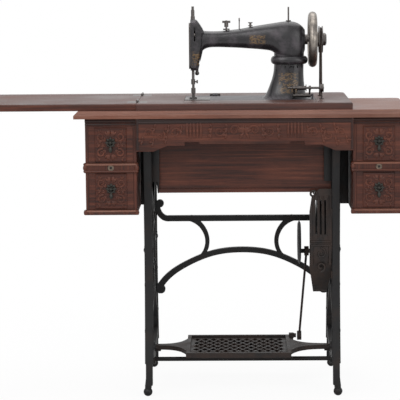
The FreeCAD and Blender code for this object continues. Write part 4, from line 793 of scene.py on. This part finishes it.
class SEWING_OT_corner_brackets(bpy.types.Operator):
    """Fill the corners between the legs, the dust box and the drawer cases with cast brackets, partly
    fittings and partly dark iron as painted shade
    """
    bl_idname = "sewing.corner_brackets"
    bl_label = "Corner brackets"

    def execute(self, context):
        dust_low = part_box("dust_box_front")[0]
        base, top = dust_low.z / MM, TABLE_LOW.z / MM - BRACKET["clear"]
        back, thick = dust_low.y / MM - BRACKET["clear"], BRACKET["thick"]
        foot, point = base + BRACKET["drop"], BRACKET["point"]
        hanger_y, hanger_foot = BRACKET["hanger_y"], base - BRACKET["hanger_drop"]
        for side, sign in (("left", -1), ("right", 1)):
            leg = [corner.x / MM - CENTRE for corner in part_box(f"leg_frame_{side}")]
            case = [corner.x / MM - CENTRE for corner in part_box(f"drawer_case_{side}")]
            inner, outer = leg[::sign]
            tip, wall = inner - sign * BRACKET["wide"], case[::sign][0] - sign * BRACKET["clear"]
            near, far = sorted((inner, tip)), sorted((outer, wall))
            pieces = [slab((near[0], back - thick, foot), (near[1], back, top), BRACKET["soft"]),
                      slab((far[0], hanger_y, hanger_foot), (far[1], hanger_y + thick, top), BRACKET["soft"])]
            if side == "left":
                line = [(tip + sign * point, back - thick / 2, z) for z in (foot + point, foot, base)]
                pieces.append(strokes([(line, (point, point, point / 3))]))
            settle(together(pieces), f"corner_bracket_{side}", "stand", "black_cast_iron")
        return {"FINISHED"}


# Relief of the dress guard in millimetres: places across it, heights from the wheel's middle and radii.
GUARD = {"lean": 7, "sunk": 0.5, "reeds": (10, 24, 36, 50), "reed_low": 30, "reed_drop": 20, "reed_r": 2.4,
         "posts": (6, 54), "post_span": (-40, 10), "post_r": 3.4, "bars": (22, 12), "bar_span": (3, 56),
         "bar_r": 3, "scroll_drop": 10, "crest_back": 7.5}


class SEWING_OT_guard_relief(bpy.types.Operator):
    """Cast ribs and a scroll on the dress guard"""
    bl_idname = "sewing.guard_relief"
    bl_label = "Guard relief"

    def execute(self, context):
        low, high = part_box("dress_guard")
        fly_low, fly_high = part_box("flywheel")
        left, front, top = low.x / MM - CENTRE, low.y / MM, high.z / MM
        face = front + GUARD["sunk"]
        middle = (fly_low.z + fly_high.z) / 2 / MM
        lean = GUARD["lean"] / (top - middle)

        def rib(across, start, end, radius):
            """Upright rib on the guard's face, which leans back above the wheel's middle."""
            points = [(left + across, face + max(z - middle, 0) * lean, z)
                      for z in (start, (start + end) / 2, end)]
            return points, [radius] * len(points)

        lines = [rib(across, middle + GUARD["reed_low"], top - GUARD["reed_drop"], GUARD["reed_r"])
                 for across in GUARD["reeds"]]
        lines += [rib(across, *(middle + step for step in GUARD["post_span"]), GUARD["post_r"])
                  for across in GUARD["posts"]]
        for step in GUARD["bars"]:
            ends = [(left + across, face, middle + step) for across in GUARD["bar_span"]]
            lines.append((ends, [GUARD["bar_r"]] * 2))
        lines += on_front([curl(30, 0, 16, 3, 90, -430, 3, 1.8), curl(30, -36, 14, 3, 270, 430, 3, 1.8)],
                          left, face, middle - GUARD["scroll_drop"])
        crest = [curl(10, -14, 11, 2.5, 0, 480, 3.4, 2)]
        lines += on_front(crest, left, front + GUARD["crest_back"], top)
        settle(strokes(lines), "guard_relief", "stand", "rusty_cast_iron")
        return {"FINISHED"}


# Pillar of the arm above its collar, in table millimetres and heights above the bed, and the reeds' radii.
PILLAR = {"bed_t": 18, "left": 82, "right": 163, "deep": 32, "power": 2.4, "reeds": 7,
          "rise": (114, 120, 138, 146), "radii": (0.8, 2.2, 2.2, 0.8)}


class SEWING_OT_pillar_flutes(bpy.types.Operator):
    """Cast reeds round the pillar above its collar"""
    bl_idname = "sewing.pillar_flutes"
    bl_label = "Pillar flutes"

    def execute(self, context):
        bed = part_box("machine_bed")[0].z / MM + PILLAR["bed_t"]
        left, right, deep = PILLAR["left"], PILLAR["right"], PILLAR["deep"]
        middle, half = (left + right) / 2, (right - left) / 2
        lines = []
        for n in range(PILLAR["reeds"]):
            share = (n + 0.5) / PILLAR["reeds"] * 2 - 1
            y = deep * (1 - abs(share) ** PILLAR["power"]) ** (1 / PILLAR["power"])
            for sign in (-1, 1):
                points = [(middle + share * half, sign * y, bed + z) for z in PILLAR["rise"]]
                lines.append((points, PILLAR["radii"]))
        settle(strokes(lines), "pillar_flutes", "head", "japanned_iron")
        return {"FINISHED"}


# The photograph's view: image size and focal length in pixels, turn in degrees, place in table millimetres,
# and the camera's sensor width in millimetres.
VIEW_SIZE = 400
VIEW_FOCAL = 1854.4
VIEW_TURN = (-1.2, 7.217, -0.491)
VIEW_FROM = (-16.7, -5040.7, 1143.8)
SENSOR = 36.0
# Lamps: name, place and size in metres, and power in watts; all look at one point.
LAMPS = (("key", (-1.6, -3.2, 3.0), 2.5, 75), ("fill", (2.6, -3.0, 1.6), 2.5, 35),
         ("top", (0.2, 0.8, 3.4), 3.0, 55))
LAMP_AIM = Vector((0, 0, 0.6))


class SEWING_OT_stage(bpy.types.Operator):
    """Set the floor, the light and the camera"""
    bl_idname = "sewing.stage"
    bl_label = "Stage"

    def execute(self, context):
        scene = context.scene
        scene.view_settings.view_transform = "Standard"
        bpy.ops.object.select_all(action="DESELECT")
        bpy.ops.mesh.primitive_plane_add(size=40, location=(0, 0, 0))
        floor = context.object
        floor.name = "studio_floor"
        material = bpy.data.materials.new("studio_floor")
        material.use_nodes = True
        tree = material.node_tree
        tree.nodes.clear()
        path = add_node(tree, "ShaderNodeLightPath")
        matte = add_node(tree, "ShaderNodeBsdfDiffuse", {"Color": (*colours().floor, 1)})
        white = add_node(tree, "ShaderNodeEmission", {"Color": (1, 1, 1, 1), "Strength": 1.0})
        spot = add_node(tree, "ShaderNodeTexCoord").outputs["Object"]
        far = add_node(tree, "ShaderNodeVectorMath", {"operation": "LENGTH"}, {0: spot})
        bare = add_node(tree, "ShaderNodeMapRange",
                        {"From Min": 0.5, "From Max": 1.4, "To Min": 0.93, "To Max": 1.0},
                        {"Value": far.outputs["Value"]})
        share = add_node(tree, "ShaderNodeMath", {"operation": "MULTIPLY"},
                         {0: path.outputs["Is Camera Ray"], 1: bare.outputs["Result"]})
        mixed = add_node(tree, "ShaderNodeMixShader", None,
                         {0: share.outputs[0], 1: matte.outputs[0], 2: white.outputs[0]})
        add_node(tree, "ShaderNodeOutputMaterial", None, {"Surface": mixed.outputs[0]})
        floor.data.materials.append(material)
        world = bpy.data.worlds.new("studio_light")
        world.use_nodes = True
        scene.world = world
        sky = world.node_tree
        sky.nodes.clear()
        path = add_node(sky, "ShaderNodeLightPath")
        seen = add_node(sky, "ShaderNodeMath", {"operation": "MAXIMUM"},
                        {0: path.outputs["Is Camera Ray"], 1: path.outputs["Is Glossy Ray"]})
        seen = add_node(sky, "ShaderNodeMath", {"operation": "MAXIMUM"},
                        {0: seen.outputs[0], 1: path.outputs["Is Transmission Ray"]})
        level = add_node(sky, "ShaderNodeMapRange", {"To Min": 0.55, "To Max": 1.0},
                         {"Value": seen.outputs[0]})
        light = add_node(sky, "ShaderNodeBackground", {"Color": (1, 1, 1, 1)},
                         {"Strength": level.outputs["Result"]})
        add_node(sky, "ShaderNodeOutputWorld", None, {"Surface": light.outputs[0]})
        for name, place, size, power in LAMPS:
            bpy.ops.object.light_add(type="AREA", location=place)
            lamp = context.object
            lamp.name = f"{name}_light"
            lamp.data.energy = power
            lamp.data.size = size
            lamp.rotation_euler = (LAMP_AIM - Vector(place)).to_track_quat("-Z", "Y").to_euler()
        camera = bpy.data.cameras.new("camera")
        seat = bpy.data.objects.new("camera", camera)
        scene.collection.objects.link(seat)
        camera.sensor_width = SENSOR
        camera.lens = SENSOR * VIEW_FOCAL / VIEW_SIZE
        camera.clip_end = 100
        yaw, pitch, roll = (math.radians(angle) for angle in VIEW_TURN)
        ahead = Vector((math.sin(yaw) * math.cos(pitch), math.cos(yaw) * math.cos(pitch), -math.sin(pitch)))
        right = Vector((math.cos(yaw), -math.sin(yaw), 0))
        above = right.cross(ahead)
        right, above = (right * math.cos(roll) + above * math.sin(roll),
                        above * math.cos(roll) - right * math.sin(roll))
        turn = Matrix((right, above, -ahead)).transposed().to_4x4()
        seat.matrix_world = Matrix.Translation(from_table(*VIEW_FROM)) @ turn
        scene.camera = seat
        return {"FINISHED"}


class SEWING_PT_panel(bpy.types.Panel):
    """List the steps in the sidebar"""
    bl_idname = "SEWING_PT_panel"
    bl_label = "Sewing machine"
    bl_space_type = "VIEW_3D"
    bl_region_type = "UI"
    bl_category = "Sewing"

    def draw(self, context):
        for step in STEPS:
            self.layout.operator(step.bl_idname)


STEPS = (SEWING_OT_finishes, SEWING_OT_drawer_carving, SEWING_OT_apron_carving, SEWING_OT_case_mouldings,
         SEWING_OT_pulls, SEWING_OT_belt, SEWING_OT_stand_relief, SEWING_OT_corner_brackets,
         SEWING_OT_guard_relief, SEWING_OT_pillar_flutes, SEWING_OT_stage)
CLASSES = (SewingSizes, SewingColours, *STEPS, SEWING_PT_panel)


def register():
    for item in CLASSES:
        bpy.utils.register_class(item)
    bpy.types.Scene.sewing_sizes = PointerProperty(type=SewingSizes)
    bpy.types.Scene.sewing_colours = PointerProperty(type=SewingColours)


def unregister():
    del bpy.types.Scene.sewing_colours
    del bpy.types.Scene.sewing_sizes
    for item in reversed(CLASSES):
        bpy.utils.unregister_class(item)


def main():
    register()
    for step in STEPS:
        group, name = step.bl_idname.split(".")
        getattr(getattr(bpy.ops, group), name)()


if __name__ == "__main__":
    main()
